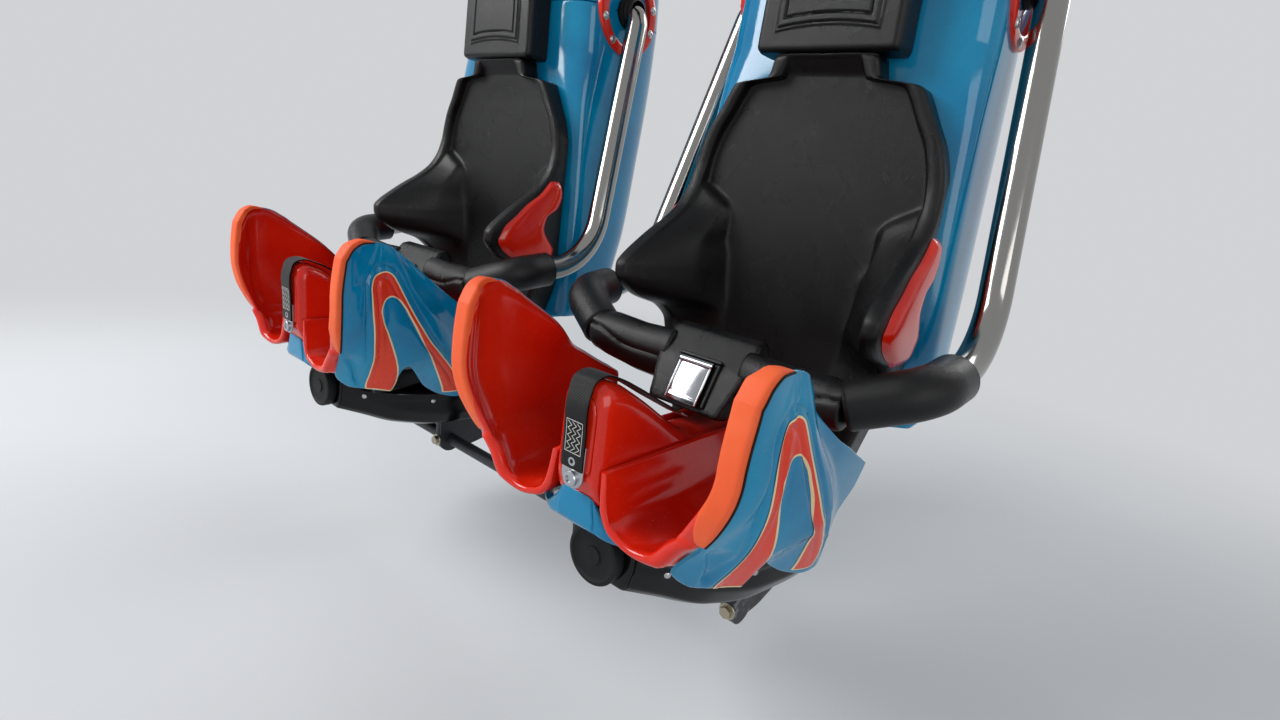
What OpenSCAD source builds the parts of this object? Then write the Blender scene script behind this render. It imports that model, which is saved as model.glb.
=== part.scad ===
// Two-seat passenger row of a suspended fairground ride, seats facing -Y.
// Origin: centre of the flat top face of the hanger flange. Units mm.

/* [Row] */
// distance between the two seat centres
seat_pitch = 836; // [820:2:880]
// length of the posts between the shell cap and the beam
post_length = 78; // [40:2:200]
// seat reference behind the flange centre (negative is forward)
seat_shift = -60; // [-90:5:-30]

/* [Back shell] */
// half width of the shell at the pivot rings
shell_half_top = 228; // [205:1:250]
// half width of the shell at its lower end
shell_half_low = 267; // [262:1:272]
// lower end of the shell above the pan
shell_foot = 108; // [100:1:116]
// depth of the shell at the seam
shell_depth = 372; // [350:2:390]
// top of the shell cap above the pan
cap_top = 1182; // [1120:2:1260]

/* [Pivot rings] */
// outer radius of the red pivot ring
ring_r = 95; // [85:1:97]
// width of the ring band
ring_band = 24; // [18:1:30]
// bolts on each ring
bolt_count = 10; // [6:1:14]
// height of the ring centre above the pan
ring_z = 828; // [820:2:836]
// ring centre behind the seat reference
ring_y = 140; // [133:1:147]

/* [Lap bar] */
// clear gap between the fixed parts and the lap bar
run_gap = 0.3; // [0.2:0.1:1]
// reach of the tube elbow outside the shell
elbow_out = 38; // [36:1:44]
// half width over the tube where it passes the seat
bar_half = 336; // [330:1:350]
// radius of the big bend that brings the tube round to the front
bar_bend = 152; // [100:2:158]
// radius of the stainless tube
tube_r = 24; // [20:1:26]
// radius of the foam sleeve
sleeve_r = 36; // [32:1:38]
// half width of the buckle lid
lid_half = 30; // [24:1:36]
// thickness of the buckle lid
lid_t = 11; // [6:1:14]
// radius of the lid's hinge barrel
pin_r = 6; // [4:0.5:8]
// half width of the buckle box on the pad
box_half = 82; // [74:1:88]

/* [Seat] */
// half width of the headrest
head_half = 123; // [115:1:128]
// top of the headrest above the pan
head_top = 1010; // [960:5:1050]
// wall of the blue wing skin
skin_wall = 5; // [4:0.5:7]
// half width over the wings' flat sides
wing_half = 257; // [252:1:262]
// depth of the largest fold in the wing
fold_depth = 26; // [16:1:30]
// how far the front edge of the wing bows forward
wing_bow = 13; // [0:1:18]
// how far the edge rim stands proud of the wing
rim_depth = 11; // [6:1:14]

/* [Underside] */
// half width of the under-tray
tray_half = 205; // [190:1:208]
// radius of the tie rod between the seats
rod_r = 14; // [10:1:18]
// radius of the nose roll
roll_r = 46; // [40:1:50]

/* [Hanger] */
// half length of the cross beam
beam_half = 560; // [520:5:620]
// height of the cross beam
beam_h = 120; // [90:5:160]
// depth of the cross beam front to back
beam_d = 140; // [120:5:180]
// height of the neck between beam and flange
neck_h = 46; // [30:2:80]
// radius of the neck
neck_r = 84; // [70:2:100]
// thickness of the hanger flange
flange_t = 24; // [18:1:32]
// radius of the flange bolt holes
flange_hole_r = 9; // [7:0.5:11]
// radius of the hanger flange
flange_r = 150; // [140:2:180]
// radius of the flange bolt circle
flange_pcd_r = 122; // [110:1:130]

/* [Hidden] */
$fn = 48;
blue = "#0f78aa"; red = "#dd2c12"; grip_red = "#ef5a2c"; black = "#17181a";
steel = "#b9bcc0"; grey = "#3a3d42"; seam = 3;
seat_gap = 0.3; disc_t = 12; disc_dish = 4; ring_in = 12;
neck_z = -flange_t - neck_h; beam_z = neck_z - beam_h; hang_height = cap_top + post_length - beam_z;

function flat(a) = [for (r = a) each r];
function lerp(t, x) = lookup(x, t);

// solid through equal rings of points, each ring listed anticlockwise from above
module loft(s) {
  n = len(s[0]); m = len(s);
  polyhedron(flat(s), concat([[for (j = [0:n - 1]) j]],
    [[for (j = [n - 1:-1:0]) (m - 1) * n + j]],
    [for (i = [0:m - 2], j = [0:n - 1]) each let (k = (j + 1) % n)
      [[i * n + j, (i + 1) * n + j, (i + 1) * n + k], [i * n + j, (i + 1) * n + k, i * n + k]]]));
}

// solid between two equal grids of points, a outside and b inside
module slab(a, b) {
  n = len(a); m = len(a[0]); o = n * m;
  function q(i, j) = i * m + j;
  polyhedron(concat(flat(a), flat(b)), concat(
    [for (i = [0:n - 2], j = [0:m - 2]) each [[q(i, j), q(i, j + 1), q(i + 1, j + 1)],
      [q(i, j), q(i + 1, j + 1), q(i + 1, j)],
      [o + q(i, j), o + q(i + 1, j + 1), o + q(i, j + 1)],
      [o + q(i, j), o + q(i + 1, j), o + q(i + 1, j + 1)]]],
    [for (i = [0:n - 2]) each let (p = q(i, 0), r = q(i + 1, 0), s = q(i, m - 1), t = q(i + 1, m - 1))
      [[p, r, o + r], [p, o + r, o + p], [t, s, o + s], [t, o + s, o + t]]],
    [for (j = [0:m - 2]) each let (p = q(0, j), r = q(0, j + 1), s = q(n - 1, j), t = q(n - 1, j + 1))
      [[o + p, o + r, r], [o + p, r, p], [s, t, o + t], [s, o + t, o + s]]]));
}

module seat_at(side) { translate([side * seat_pitch / 2, seat_shift, -hang_height]) children(); }
module both() { children(); mirror([1, 0, 0]) children(); }

// tube along a list of points with true bends; the bend radius at each inner point is given in b
module bent(p, b, r) {
  n = len(p);
  function dir(i) = (p[i + 1] - p[i]) / norm(p[i + 1] - p[i]);
  function turn(i) = acos(dir(i - 1) * dir(i));
  function back(i) = i == 0 || i == n - 1 ? 0 : b[i] * tan(turn(i) / 2);
  for (i = [0:n - 2]) let (d = dir(i))
    translate(p[i] + d * (back(i) - (i > 0 ? 0.4 : 0))) rotate([0, acos(d[2]), atan2(d[1], d[0])])
      cylinder(r = r, h = norm(p[i + 1] - p[i]) - back(i) - back(i + 1) + (i > 0 ? 0.4 : 0) + (i < n - 2 ? 0.4 : 0));
  for (i = [1:n - 2]) let (d = dir(i - 1), c = cross(d, dir(i)), k = c / norm(c), s = cross(k, d),
      o = p[i] - d * back(i) + s * b[i])
    multmatrix([[-s[0], d[0], k[0], o[0]], [-s[1], d[1], k[1], o[1]], [-s[2], d[2], k[2], o[2]]])
      rotate_extrude(angle = turn(i)) translate([b[i], 0]) circle(r = r + 0.08);
}

// ---- blue back shell: rounded box section, flat in front, tapering down
taper_low = [[0, 0.82, 0.255], [0.014, 0.95, 0.349], [0.044, 0.985, 0.462], [0.086, 1, 0.565], [0.142, 1, 0.656],
  [0.211, 1, 0.72], [0.308, 1, 0.796], [0.544, 1, 0.887], [0.822, 1, 0.973], [1, 1, 1]];
taper_top = [[0, 1, 1], [0.43, 0.961, 0.968], [0.712, 0.889, 0.874], [0.881, 0.774, 0.753], [0.966, 0.622, 0.618],
  [1, 0.41, 0.484]];
function taper(z, k) = z < ring_z ? lerp([for (r = taper_low) [r[0], r[k]]], (z - shell_foot) / (ring_z - shell_foot)) :
  lerp([for (r = taper_top) [r[0], r[k]]], (z - ring_z) / (cap_top - ring_z));
function shell_w(z) = taper(z, 1) * lerp([[shell_foot, shell_half_low], [ring_z, shell_half_top]], z);
function shell_d(z) = taper(z, 2) * shell_depth;
function spow(v, e) = sign(v) * pow(abs(v), e);
function shell_ring(z, n = 32) = let (w = shell_w(z), d = shell_d(z), c = min(70, d * 0.35),
    m = lerp([[600, 5], [720, 3]], z))
  [for (i = [0:n - 1]) let (a = 360 * (i + 0.5) / n - 90, k = sin(a) < 0 ? 2 / m : 2 / 3)
    [w * spow(cos(a), k), c + (sin(a) < 0 ? c : d - c) * spow(sin(a), k), z]];
module ring_seats() { both() translate([shell_half_top - ring_in, ring_y, ring_z]) rotate([0, 90, 0])
  cylinder(r = ring_r, h = 60); }
module back_shell() { color(blue) difference() {
  loft([for (t = [0, 0.014, 0.038, 0.08, 0.142, 0.211, 0.308, 0.433, 0.544, 0.683, 0.822, 0.92, 1])
    shell_ring(shell_foot + (ring_z - seam - shell_foot) * t)]);
  ring_seats(); } }
module shell_cap() { color(blue) difference() {
  loft([for (t = [0, 0.17, 0.43, 0.6, 0.71, 0.8, 0.88, 0.94, 0.972, 1])
    shell_ring(ring_z - seam + (cap_top - ring_z + seam) * t)]);
  ring_seats(); } }

// ---- red pivot rings with their domed bolts
module on_side() { both() translate([shell_half_top - ring_in, ring_y, ring_z]) rotate([0, 90, 0]) children(); }
module pivot_rings() { color(red) on_side() difference() { cylinder(r = ring_r, h = 22);
  translate([0, 0, -1]) cylinder(r = ring_r - ring_band, h = 24); } }
module pivot_discs() { color(blue) on_side() difference() { cylinder(r = ring_r - ring_band, h = disc_t);
  translate([0, 0, disc_t - disc_dish]) cylinder(r = 38, h = disc_dish + 1); } }
module ring_bolts() { color(steel) on_side() for (i = [0:bolt_count - 1]) rotate(360 * (i + 0.5) / bolt_count)
  translate([ring_r - ring_band / 2, 0, 22]) cylinder(r1 = 6.5, r2 = 4, h = 4); }

// ---- black moulded seat: neck, shoulders, raised border and bolsters
rim_y = [[0, -60], [200, -64], [235, -100], [245, -140], [256, -172], [275, -200], [295, -214], [311, -214], [325, -203],
  [350, -172], [373, -140], [400, -98], [431, -63], [470, -42], [511, -35], [600, -38], [646, -42], [690, -46]];
rim_x = [[0, 172], [120, 200], [200, 228], [256, 236], [311, 242], [400, 236], [470, 231], [511, 226], [560, 212],
  [600, 190], [630, 174], [646, 162], [656, 100], [690, 90]];
function back_y(z) = lerp([[0, -30], [60, -14], [200, -8], [400, -14], [600, -20], [690, -28]], z);
function bucket_ring(z) = let (x = lerp(rim_x, z), y = lerp(rim_y, z), b = back_y(z), o = min(x, 225),
    h = lerp([[-6, 0], [60, 1], [656, 1], [690, 0]], z), g = 1 - h, s = h * min(b, y * 0.35 + b * 0.65) + g * (y - 3.4),
    m = h * b + g * (y - 3.7))
  [[o, 0, z], [-o, 0, z], [-x - g, (y + 4) * 0.5, z], [-x, y + 6, z], [-x + 8, y, z], [-x + 32, y + h - 2.5 * g, z],
   [-x + 40, y + 10 * h - 3 * g, z], [(40 - x) * 0.75, s, z], [(40 - x) * 0.4, m, z], [(x - 40) * 0.4, m, z],
   [(x - 40) * 0.75, s, z], [x - 40, y + 10 * h - 3 * g, z], [x - 32, y + h - 2.5 * g, z], [x - 8, y, z], [x, y + 6, z],
   [x + g, (y + 4) * 0.5, z]];
bucket_z = [-6, 60, 130, 200, 235, 245, 256, 275, 295, 311, 325, 350, 373, 400, 431, 470, 511, 560, 600, 630, 646, 656, 690];
module seat_bucket() { color(black) {
  loft([for (z = bucket_z) bucket_ring(z)]);
  loft([for (z = [-50, -14, 5]) let (w = z < -20 ? 140 : 160, f = z < -20 ? -150 : -160)
    [[-w, f, z], [w, f, z], [w, -2, z], [-w, -2, z]]]); } }

// ---- headrest block with a stepped front panel
module headrest() { color(black) {
  loft([for (s = [[692, 0.97], [702, 1], [760, 0.99], [900, 0.95], [985, 0.86], [head_top, 0.7]]) let (w = head_half * s[1])
    [[-w, 0, s[0]], [-w, -50, s[0]], [-w + 10, -58, s[0]], [w - 10, -58, s[0]], [w, -50, s[0]], [w, 0, s[0]]]]);
  loft([for (s = [[716, 0.97], [724, 1], [900, 0.94], [960, 0.86]]) let (w = 88 * s[1])
    [[-w, -58, s[0]], [-w + 6, -64, s[0]], [w - 6, -64, s[0]], [w, -58, s[0]]]]); } }

// ---- red side panels outside the bolsters
panel_edge = [[235, -100, -62], [256, -146, -34], [275, -178, -30], [295, -192, -46], [311, -186, -60], [325, -178, -66],
  [350, -148, -60], [373, -122, -28], [400, -82, -18], [431, -52, -26]];
module bolster_panels() { color(red) both() loft([for (s = panel_edge) let (z = s[0], x = lerp(rim_x, z), f = s[1], r = s[2])
  [[x + seat_gap, f, z], [x + 7, f + 3, z], [x + 12, (f + r) / 2, z], [x + 7, r - 3, z], [x + seat_gap, r, z]]]); }

// ---- leg wings: outer blue skin with folds that fan out from the grip
wing_edge = [ // y and z at the bottom, then y and z at the top, front to rear
  [-507, 58, -524, 250], [-496, 8, -512, 272], [-476, -9, -494, 283], [-455, -11, -476, 284], [-432, -16, -459, 282],
  [-410, -19, -443, 277], [-400, 0, -433, 271], [-395, 38, -424, 266], [-382, 47, -410, 256], [-364, 30, -394, 245],
  [-344, 2, -374, 231], [-325, -25, -352, 215], [-296, -41, -322, 191], [-263, -45, -286, 163], [-236, -26, -252, 146],
  [-204, 12, -208, 123], [-168, 64, -162, 102]];
last = len(wing_edge) - 1;
// ridges and valleys by the angle round the grip, as parts of the fold depth; then the deep valley between the lobes
folds = [[-45, -0.12], [-28, -0.15], [-15, 0.1], [-9, -0.05], [-2, 0.25], [4, 0.12], [9, 0.36], [18, 0.7], [26, 1],
  [31, 0.95], [38, 0.3], [45, -0.15], [58, -0.1]];
valley = [[8, 0], [13, 20], [19, 32], [22, 28], [24.5, 14], [28, 3], [31, 0]];
function wing_plain(y, z) = let (d = max(0, 175 - z), f = max(y + 525, -6),
    a = (y + 345) * 0.856 - (z - 212) * 0.523, b = (y + 345) * 0.523 + (z - 212) * 0.856)
  wing_half - (0.0006 + 0.0045 * exp(-f / 26) + 0.0016 * exp(-f / 150)) * d * d - 6 * exp(-f / 12)
    - 0.00045 * pow(max(0, z - 180), 2) - 22 * exp(-a * a / 3844 - b * b / 1764);
function wing_x(y, z) = let (p = atan2(y + 460, 305 - z), r = norm([y + 460, 305 - z]))
  wing_plain(y, z) + fold_depth * min(1, r / 250) * lookup(p, folds) - lookup(p, valley) * min(1.6, max(0, r - 265) / 75);
function wing_grid(e, lo = 0) = [for (i = [0:last]) let (s = wing_edge[i]) [for (j = [lo:8])
  let (z = j < 3 ? s[1] + (70 - s[1]) * j / 3 : 70 + (s[3] - 70) * (j - 3) / 5, t = (z - s[1]) / (s[3] - s[1]),
    y = s[0] + (s[2] - s[0]) * t - wing_bow * exp(-i / 1.5) * sin(180 * t)) [wing_x(y, z) - e, y, z]]];
module outer_wings() { color(blue) both() slab(wing_grid(0), wing_grid(skin_wall)); }

// ---- red liner: concave wing lining, thigh channel and floor in one moulding
liner_wall = [[0, 26], [1, 22], [2, 18], [3, 15], [4, 13], [5, 12], [11, 12], [last, 8]];
floor_f = [0, 0.02, 0.17, 0.43, 0.68, 0.85];
floor_in = [95, 56, 29, 19, 26, 54];
floor_out = [95, 50, 18, 8, 14, 46];
function liner_grid(inner) = let (g = wing_grid(skin_wall, 3)) [for (i = [0:last]) let (s = wing_edge[i],
    w = lookup(i, liner_wall) + skin_wall, x0 = inner ? 49 : 40,
    wall = [for (p = g[i]) [inner ? min(p[0] - 3, wing_plain(p[1], p[2]) - w) : p[0], p[1], p[2]]], xw = wall[0][0])
  concat([for (k = [0:5]) [x0 + (xw - x0) * floor_f[k], s[0] + (s[2] - s[0]) * 0.1, inner ? floor_in[k] : floor_out[k]]],
    wall)];
module leg_liners() { color(red) both() slab(liner_grid(false), liner_grid(true)); }

// ---- matte edge rim: up the front edge of each wing and over the grip; each step has its way out and its depth
rim_step = [[0, 3, -1, 0, 1], [0, 4, -1, 0, 1], [0, 5, -1, 0, 1], [0, 6, -1, 0, 1], [0, 7, -1, 0.1, 1], [0, 8, -0.86, 0.5, 1],
  [1, 8, -0.6, 0.8, 0.9], [2, 8, -0.2, 0.98, 0.62], [3, 8, 0, 1, 0.25]];
rim_form = [[0, 0], [0, 0.48], [0.28, 1], [0.72, 1], [1, 0.48], [1, 0]]; // across the rim, and out as a part of its depth
function across(a, b, s, f) = let (p = a[s[0]][s[1]], q = b[s[0]][s[1] + 3]) p + (q - p) * f;
module wing_rims() { color(grip_red) both() { a = wing_grid(0); b = liner_grid(true); n = len(rim_form) - 1;
  slab([for (r = [n:-1:0]) [for (s = rim_step)
      across(a, b, s, rim_form[r][0]) + rim_depth * s[4] * rim_form[r][1] * [0, s[2], s[3]]]],
    [for (r = [n:-1:0]) [for (s = rim_step) across(a, b, s, r / n)]]); } }

// ---- red horn between the thighs and the blue nose hull below it
horn_s = [[-516, 26, 186, 84], [-511, 34, 200, 68], [-497, 40, 207, 40], [-470, 40, 200, 30], [-440, 40, 184, 30],
  [-400, 40, 160, 30], [-360, 40, 134, 30], [-330, 40, 116, 30], [-300, 40, 104, 30], [-168, 40, 98, 30]];
module along_y(s) { multmatrix([[1, 0, 0, 0], [0, 0, 1, 0], [0, -1, 0, 0], [0, 0, 0, 1]]) loft(s); }
function yz(p) = [for (i = [len(p) - 1:-1:0]) [p[i][0], -p[i][1], p[i][2]]];
module horn() { color(red) along_y([for (s = horn_s) let (w = s[1], t = s[2], b = s[3], c = min(95, t - 30))
  yz([[-w, b, s[0]], [w, b, s[0]], [w, c, s[0]], [w * 0.98, t - 22, s[0]], [w * 0.8, t - 8, s[0]], [w * 0.42, t, s[0]],
    [-w * 0.42, t, s[0]], [-w * 0.8, t - 8, s[0]], [-w * 0.98, t - 22, s[0]], [-w, c, s[0]]])]); }
nose_s = [[-506, 54, 26, 20, 34, 8, 34], [-497, 40, 34, 6, 62, -2, 54], [-470, 30, 38, 4, 92, -12, 78],
  [-436, 30, 38, 0, 110, -18, 98], [-398, 30, 38, -3, 116, -50, 108], [-190, 30, 38, -4, 118, -50, 110], [-162, 30, 38, -4, 108, -50, 100]];
module nose_shell() { color(blue) along_y([for (s = nose_s)
  yz([[-s[6], s[5], s[0]], [s[6], s[5], s[0]], [s[4], s[3], s[0]], [s[2], s[1], s[0]],
    [-s[2], s[1], s[0]], [-s[4], s[3], s[0]]])]); }

// ---- black under-tray, nose roll and rod bracket
tray_s = [[-438, 62, -106, -21], [-398, 100, -118, -50], [-340, 150, -136, -50], [-240, 184, -150, -50],
  [-110, 205, -150, -50], [-98, 198, -142, -50]];
module base_tray() { color(black) along_y([for (s = tray_s) let (w = s[1] * tray_half / 205, b = s[2], t = s[3])
  yz([[-w * 0.72, b, s[0]], [w * 0.72, b, s[0]], [w * 0.86, b + 10, s[0]], [w * 0.96, b + 40, s[0]], [w, t - 8, s[0]],
    [w - 8, t, s[0]], [-w + 8, t, s[0]], [-w, t - 8, s[0]], [-w * 0.96, b + 40, s[0]], [-w * 0.86, b + 10, s[0]]])]); }
module nose_roll() { color(black) translate([0, -438, -18 - roll_r]) rotate([90, 0, 0]) cylinder(r = roll_r, h = 20); }

// ---- seat strap: anchor plate, webbing over the horn, tongue
strap_path = [[-519, 88], [-520, 130], [-520, 190], [-514, 206], [-498, 212], [-470, 205], [-430, 187], [-380, 161], [-340, 141],
  [-318, 130]];
module ribbon(p, w, t) { n = len(p); a = [for (i = [0:n - 1]) let (u = p[max(0, i - 1)], v = p[min(n - 1, i + 1)], d = v - u,
    l = norm(d)) [p[i][0] - d[1] / l * t, p[i][1] + d[0] / l * t]];
  rotate([90, 0, 90]) translate([0, 0, -w / 2]) linear_extrude(w) polygon(concat(p, [for (i = [n - 1:-1:0]) a[i]])); }
module strap() { color(black) ribbon(strap_path, 38, 3); }
module strap_ends() { color(steel) {
  translate([0, -516, 0]) rotate([90, 0, 0]) difference() {
    translate([-19, 60, 0]) cube([38, 62, 3]); translate([0, 74, -1]) cylinder(r = 5, h = 5); }
  translate([0, -516, 74]) rotate([90, 0, 0]) cylinder(r = 5, h = 9);
  translate([0, -519, 74]) rotate([90, 0, 0]) cylinder(r = 11, h = 6);
  let (p = strap_path[len(strap_path) - 1], d = p - strap_path[len(strap_path) - 2])
    translate([0, p[0], p[1]]) rotate([atan2(d[1], d[0]), 0, 0]) translate([-20, seat_gap, 0]) cube([40, 20, 3]); } }

// ---- lap bar: hubs, stainless tubes, foam sleeves, moulded pad, buckle box and lever
hub_x = shell_half_top - ring_in + disc_t;
tube_path = [[hub_x - disc_dish + run_gap, ring_y, ring_z], [shell_half_top + elbow_out, ring_y, ring_z],
  [bar_half, -4, 262], [bar_half - 9, -122, 249]];
sleeve_path = [tube_path[3], [bar_half - 15, -200.6, 238.3], [226, -238, 196]];
module lap_tubes() { color(steel) both() { bent(tube_path, [0, 40, bar_bend, 0], tube_r);
  translate([hub_x + run_gap, ring_y, ring_z]) rotate([0, 90, 0]) cylinder(r = 34, h = 12); } }
module lap_sleeves() { color(black) both() difference() { bent(sleeve_path, [0, 60, 0], sleeve_r);
  bent([tube_path[3] - (tube_path[3] - tube_path[2]) * 0.1, tube_path[3] + (tube_path[3] - tube_path[2]) * 0.001], [0, 0], sleeve_r + 9); } }
module lap_pad() { color(black) both() difference() {
  multmatrix([[0, 0, 1, 0], [1, 0, 0, 0], [0, 1, 0, 0], [0, 0, 0, 1]])
    loft([for (x = [box_half, 95, 130, 165, 200, 220, 262]) let (h = lerp([[82, 44], [130, 42], [200, 39], [220, 36]], x),
      d = lerp([[82, 30], [262, 36]], x), y = lerp([[82, -232], [220, -236], [262, -228]], x),
      z = lerp([[82, 186], [130, 186], [220, 194], [262, 206]], x))
      [for (k = [0:11]) let (t = 30 * k + 15) [y + d * cos(t), z + h * sin(t), x]]]);
  let (d = sleeve_path[2] - sleeve_path[1], n = norm(d)) translate(sleeve_path[2])
    rotate([0, acos(d[2] / n), atan2(d[1], d[0])]) translate([-90, -90, -120]) cube([180, 180, 120]); } }
box_top = [-262, 196]; box_low = [-296, 130]; box_face = atan2(box_top[1] - box_low[1], box_top[0] - box_low[0]);
module lap_box() { color(black) rotate([90, 0, 90]) translate([0, 0, -box_half]) linear_extrude(2 * box_half)
  polygon([[-224, 240], box_top, box_low, [-262, 122], [-206, 140], [-196, 160], [-192, 232], [-204, 244]]); }
lid_pin = box_top + (pin_r + 2 * run_gap) * [-sin(box_face), cos(box_face)];
module buckle_lever() { color(steel) translate([0, lid_pin[0], lid_pin[1]]) rotate([box_face, 0, 0]) {
  translate([-lid_half, -68, -pin_r - run_gap]) cube([2 * lid_half, 66, lid_t]);
  rotate([0, 90, 0]) translate([0, 0, -lid_half]) cylinder(r = pin_r, h = 2 * lid_half); } }

// ---- row steelwork: beam, flange, post brackets and tie rod
module cross_beam() { color(grey) translate([-beam_half, -beam_d / 2, beam_z]) cube([2 * beam_half, beam_d, beam_h]); }
module seat_posts() { color(grey) for (k = [-1, 1]) translate([k * seat_pitch / 2 - 60, -50, beam_z - post_length])
  cube([120, 100, post_length]); }
module hanger_flange() { color(grey) difference() { union() {
    translate([0, 0, -flange_t]) cylinder(r = flange_r, h = flange_t);
    translate([0, 0, neck_z]) cylinder(r = neck_r, h = neck_h); }
  for (i = [0:7]) rotate(45 * i + 22.5) translate([flange_pcd_r, 0, -flange_t - 1])
    cylinder(r = flange_hole_r, h = flange_t + 2); } }
lug_x = 108; lug_t = 12; lug_r = 31; rod_at = [-191, -206]; // y and z of the rod in seat terms
module on_rod(x) { translate([x, rod_at[0], rod_at[1]]) rotate([0, 90, 0]) children(); }
module tie_rod() { color(black) { for (k = [-1, 1]) translate([k * seat_pitch / 2, seat_shift, -hang_height]) both() {
    on_rod(lug_x) cylinder(r = lug_r, h = lug_t);
    translate([lug_x, rod_at[0] - lug_r, rod_at[1]]) cube([lug_t, 2 * lug_r, -150 - rod_at[1]]); }
  let (out = seat_pitch / 2 + lug_x + lug_t) translate([0, seat_shift, -hang_height]) on_rod(-out)
    cylinder(r = rod_r, h = 2 * out); } }

module left_back_shell() { seat_at(1) back_shell(); }
module left_shell_cap() { seat_at(1) shell_cap(); }
module left_pivot_rings() { seat_at(1) pivot_rings(); }
module left_pivot_discs() { seat_at(1) pivot_discs(); }
module left_ring_bolts() { seat_at(1) ring_bolts(); }
module left_seat_bucket() { seat_at(1) seat_bucket(); }
module left_headrest() { seat_at(1) headrest(); }
module left_bolster_panels() { seat_at(1) bolster_panels(); }
module left_outer_wings() { seat_at(1) outer_wings(); }
module left_leg_liners() { seat_at(1) leg_liners(); }
module left_wing_rims() { seat_at(1) wing_rims(); }
module left_horn() { seat_at(1) horn(); }
module left_nose_shell() { seat_at(1) nose_shell(); }
module left_base_tray() { seat_at(1) base_tray(); }
module left_nose_roll() { seat_at(1) nose_roll(); }
module left_strap() { seat_at(1) strap(); }
module left_strap_ends() { seat_at(1) strap_ends(); }
module left_lap_tubes() { seat_at(1) lap_tubes(); }
module left_lap_sleeves() { seat_at(1) lap_sleeves(); }
module left_lap_pad() { seat_at(1) lap_pad(); }
module left_lap_box() { seat_at(1) lap_box(); }
module left_buckle_lever() { seat_at(1) buckle_lever(); }
module right_back_shell() { seat_at(-1) back_shell(); }
module right_shell_cap() { seat_at(-1) shell_cap(); }
module right_pivot_rings() { seat_at(-1) pivot_rings(); }
module right_pivot_discs() { seat_at(-1) pivot_discs(); }
module right_ring_bolts() { seat_at(-1) ring_bolts(); }
module right_seat_bucket() { seat_at(-1) seat_bucket(); }
module right_headrest() { seat_at(-1) headrest(); }
module right_bolster_panels() { seat_at(-1) bolster_panels(); }
module right_outer_wings() { seat_at(-1) outer_wings(); }
module right_leg_liners() { seat_at(-1) leg_liners(); }
module right_wing_rims() { seat_at(-1) wing_rims(); }
module right_horn() { seat_at(-1) horn(); }
module right_nose_shell() { seat_at(-1) nose_shell(); }
module right_base_tray() { seat_at(-1) base_tray(); }
module right_nose_roll() { seat_at(-1) nose_roll(); }
module right_strap() { seat_at(-1) strap(); }
module right_strap_ends() { seat_at(-1) strap_ends(); }
module right_lap_tubes() { seat_at(-1) lap_tubes(); }
module right_lap_sleeves() { seat_at(-1) lap_sleeves(); }
module right_lap_pad() { seat_at(-1) lap_pad(); }
module right_lap_box() { seat_at(-1) lap_box(); }
module right_buckle_lever() { seat_at(-1) buckle_lever(); }

cross_beam();
seat_posts();
hanger_flange();
tie_rod();
left_back_shell();
left_shell_cap();
left_pivot_rings();
left_pivot_discs();
left_ring_bolts();
left_seat_bucket();
left_headrest();
left_bolster_panels();
left_outer_wings();
left_leg_liners();
left_wing_rims();
left_horn();
left_nose_shell();
left_base_tray();
left_nose_roll();
left_strap();
left_strap_ends();
left_lap_tubes();
left_lap_sleeves();
left_lap_pad();
left_lap_box();
left_buckle_lever();
right_back_shell();
right_shell_cap();
right_pivot_rings();
right_pivot_discs();
right_ring_bolts();
right_seat_bucket();
right_headrest();
right_bolster_panels();
right_outer_wings();
right_leg_liners();
right_wing_rims();
right_horn();
right_nose_shell();
right_base_tray();
right_nose_roll();
right_strap();
right_strap_ends();
right_lap_tubes();
right_lap_sleeves();
right_lap_pad();
right_lap_box();
right_buckle_lever();
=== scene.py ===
import math

import bmesh
import bpy
import numpy as np
from mathutils import Matrix, Vector


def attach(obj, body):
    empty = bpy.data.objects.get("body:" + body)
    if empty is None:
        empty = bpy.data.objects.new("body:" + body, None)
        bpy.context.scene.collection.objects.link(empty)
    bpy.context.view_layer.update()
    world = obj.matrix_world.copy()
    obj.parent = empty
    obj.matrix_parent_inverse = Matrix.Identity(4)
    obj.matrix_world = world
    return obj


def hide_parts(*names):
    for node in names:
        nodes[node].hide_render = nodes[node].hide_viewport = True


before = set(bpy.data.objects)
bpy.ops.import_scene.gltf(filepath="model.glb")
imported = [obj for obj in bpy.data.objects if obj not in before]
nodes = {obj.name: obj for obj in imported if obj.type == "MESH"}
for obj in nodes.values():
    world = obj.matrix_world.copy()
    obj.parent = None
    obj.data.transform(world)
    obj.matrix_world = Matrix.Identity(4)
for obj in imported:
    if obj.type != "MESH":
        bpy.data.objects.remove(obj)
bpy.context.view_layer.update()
print("frame loaded:", len(nodes), "nodes")

# the row has the same sizes as the part's source, in mm, and each seat its side of the row's middle
row = {"pitch": 836, "shift": -60, "hang": 1450}
seats = {"left": 1, "right": -1}
sideways = [0, 1, 0], [0, 0, 1], [1, 0, 0]  # the axes of a turned piece whose own Z points out to the side
forwards = [1, 0, 0], [0, 0, 1], [0, -1, 0]  # and of one whose own Z points forwards


# numbers and lines

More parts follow.
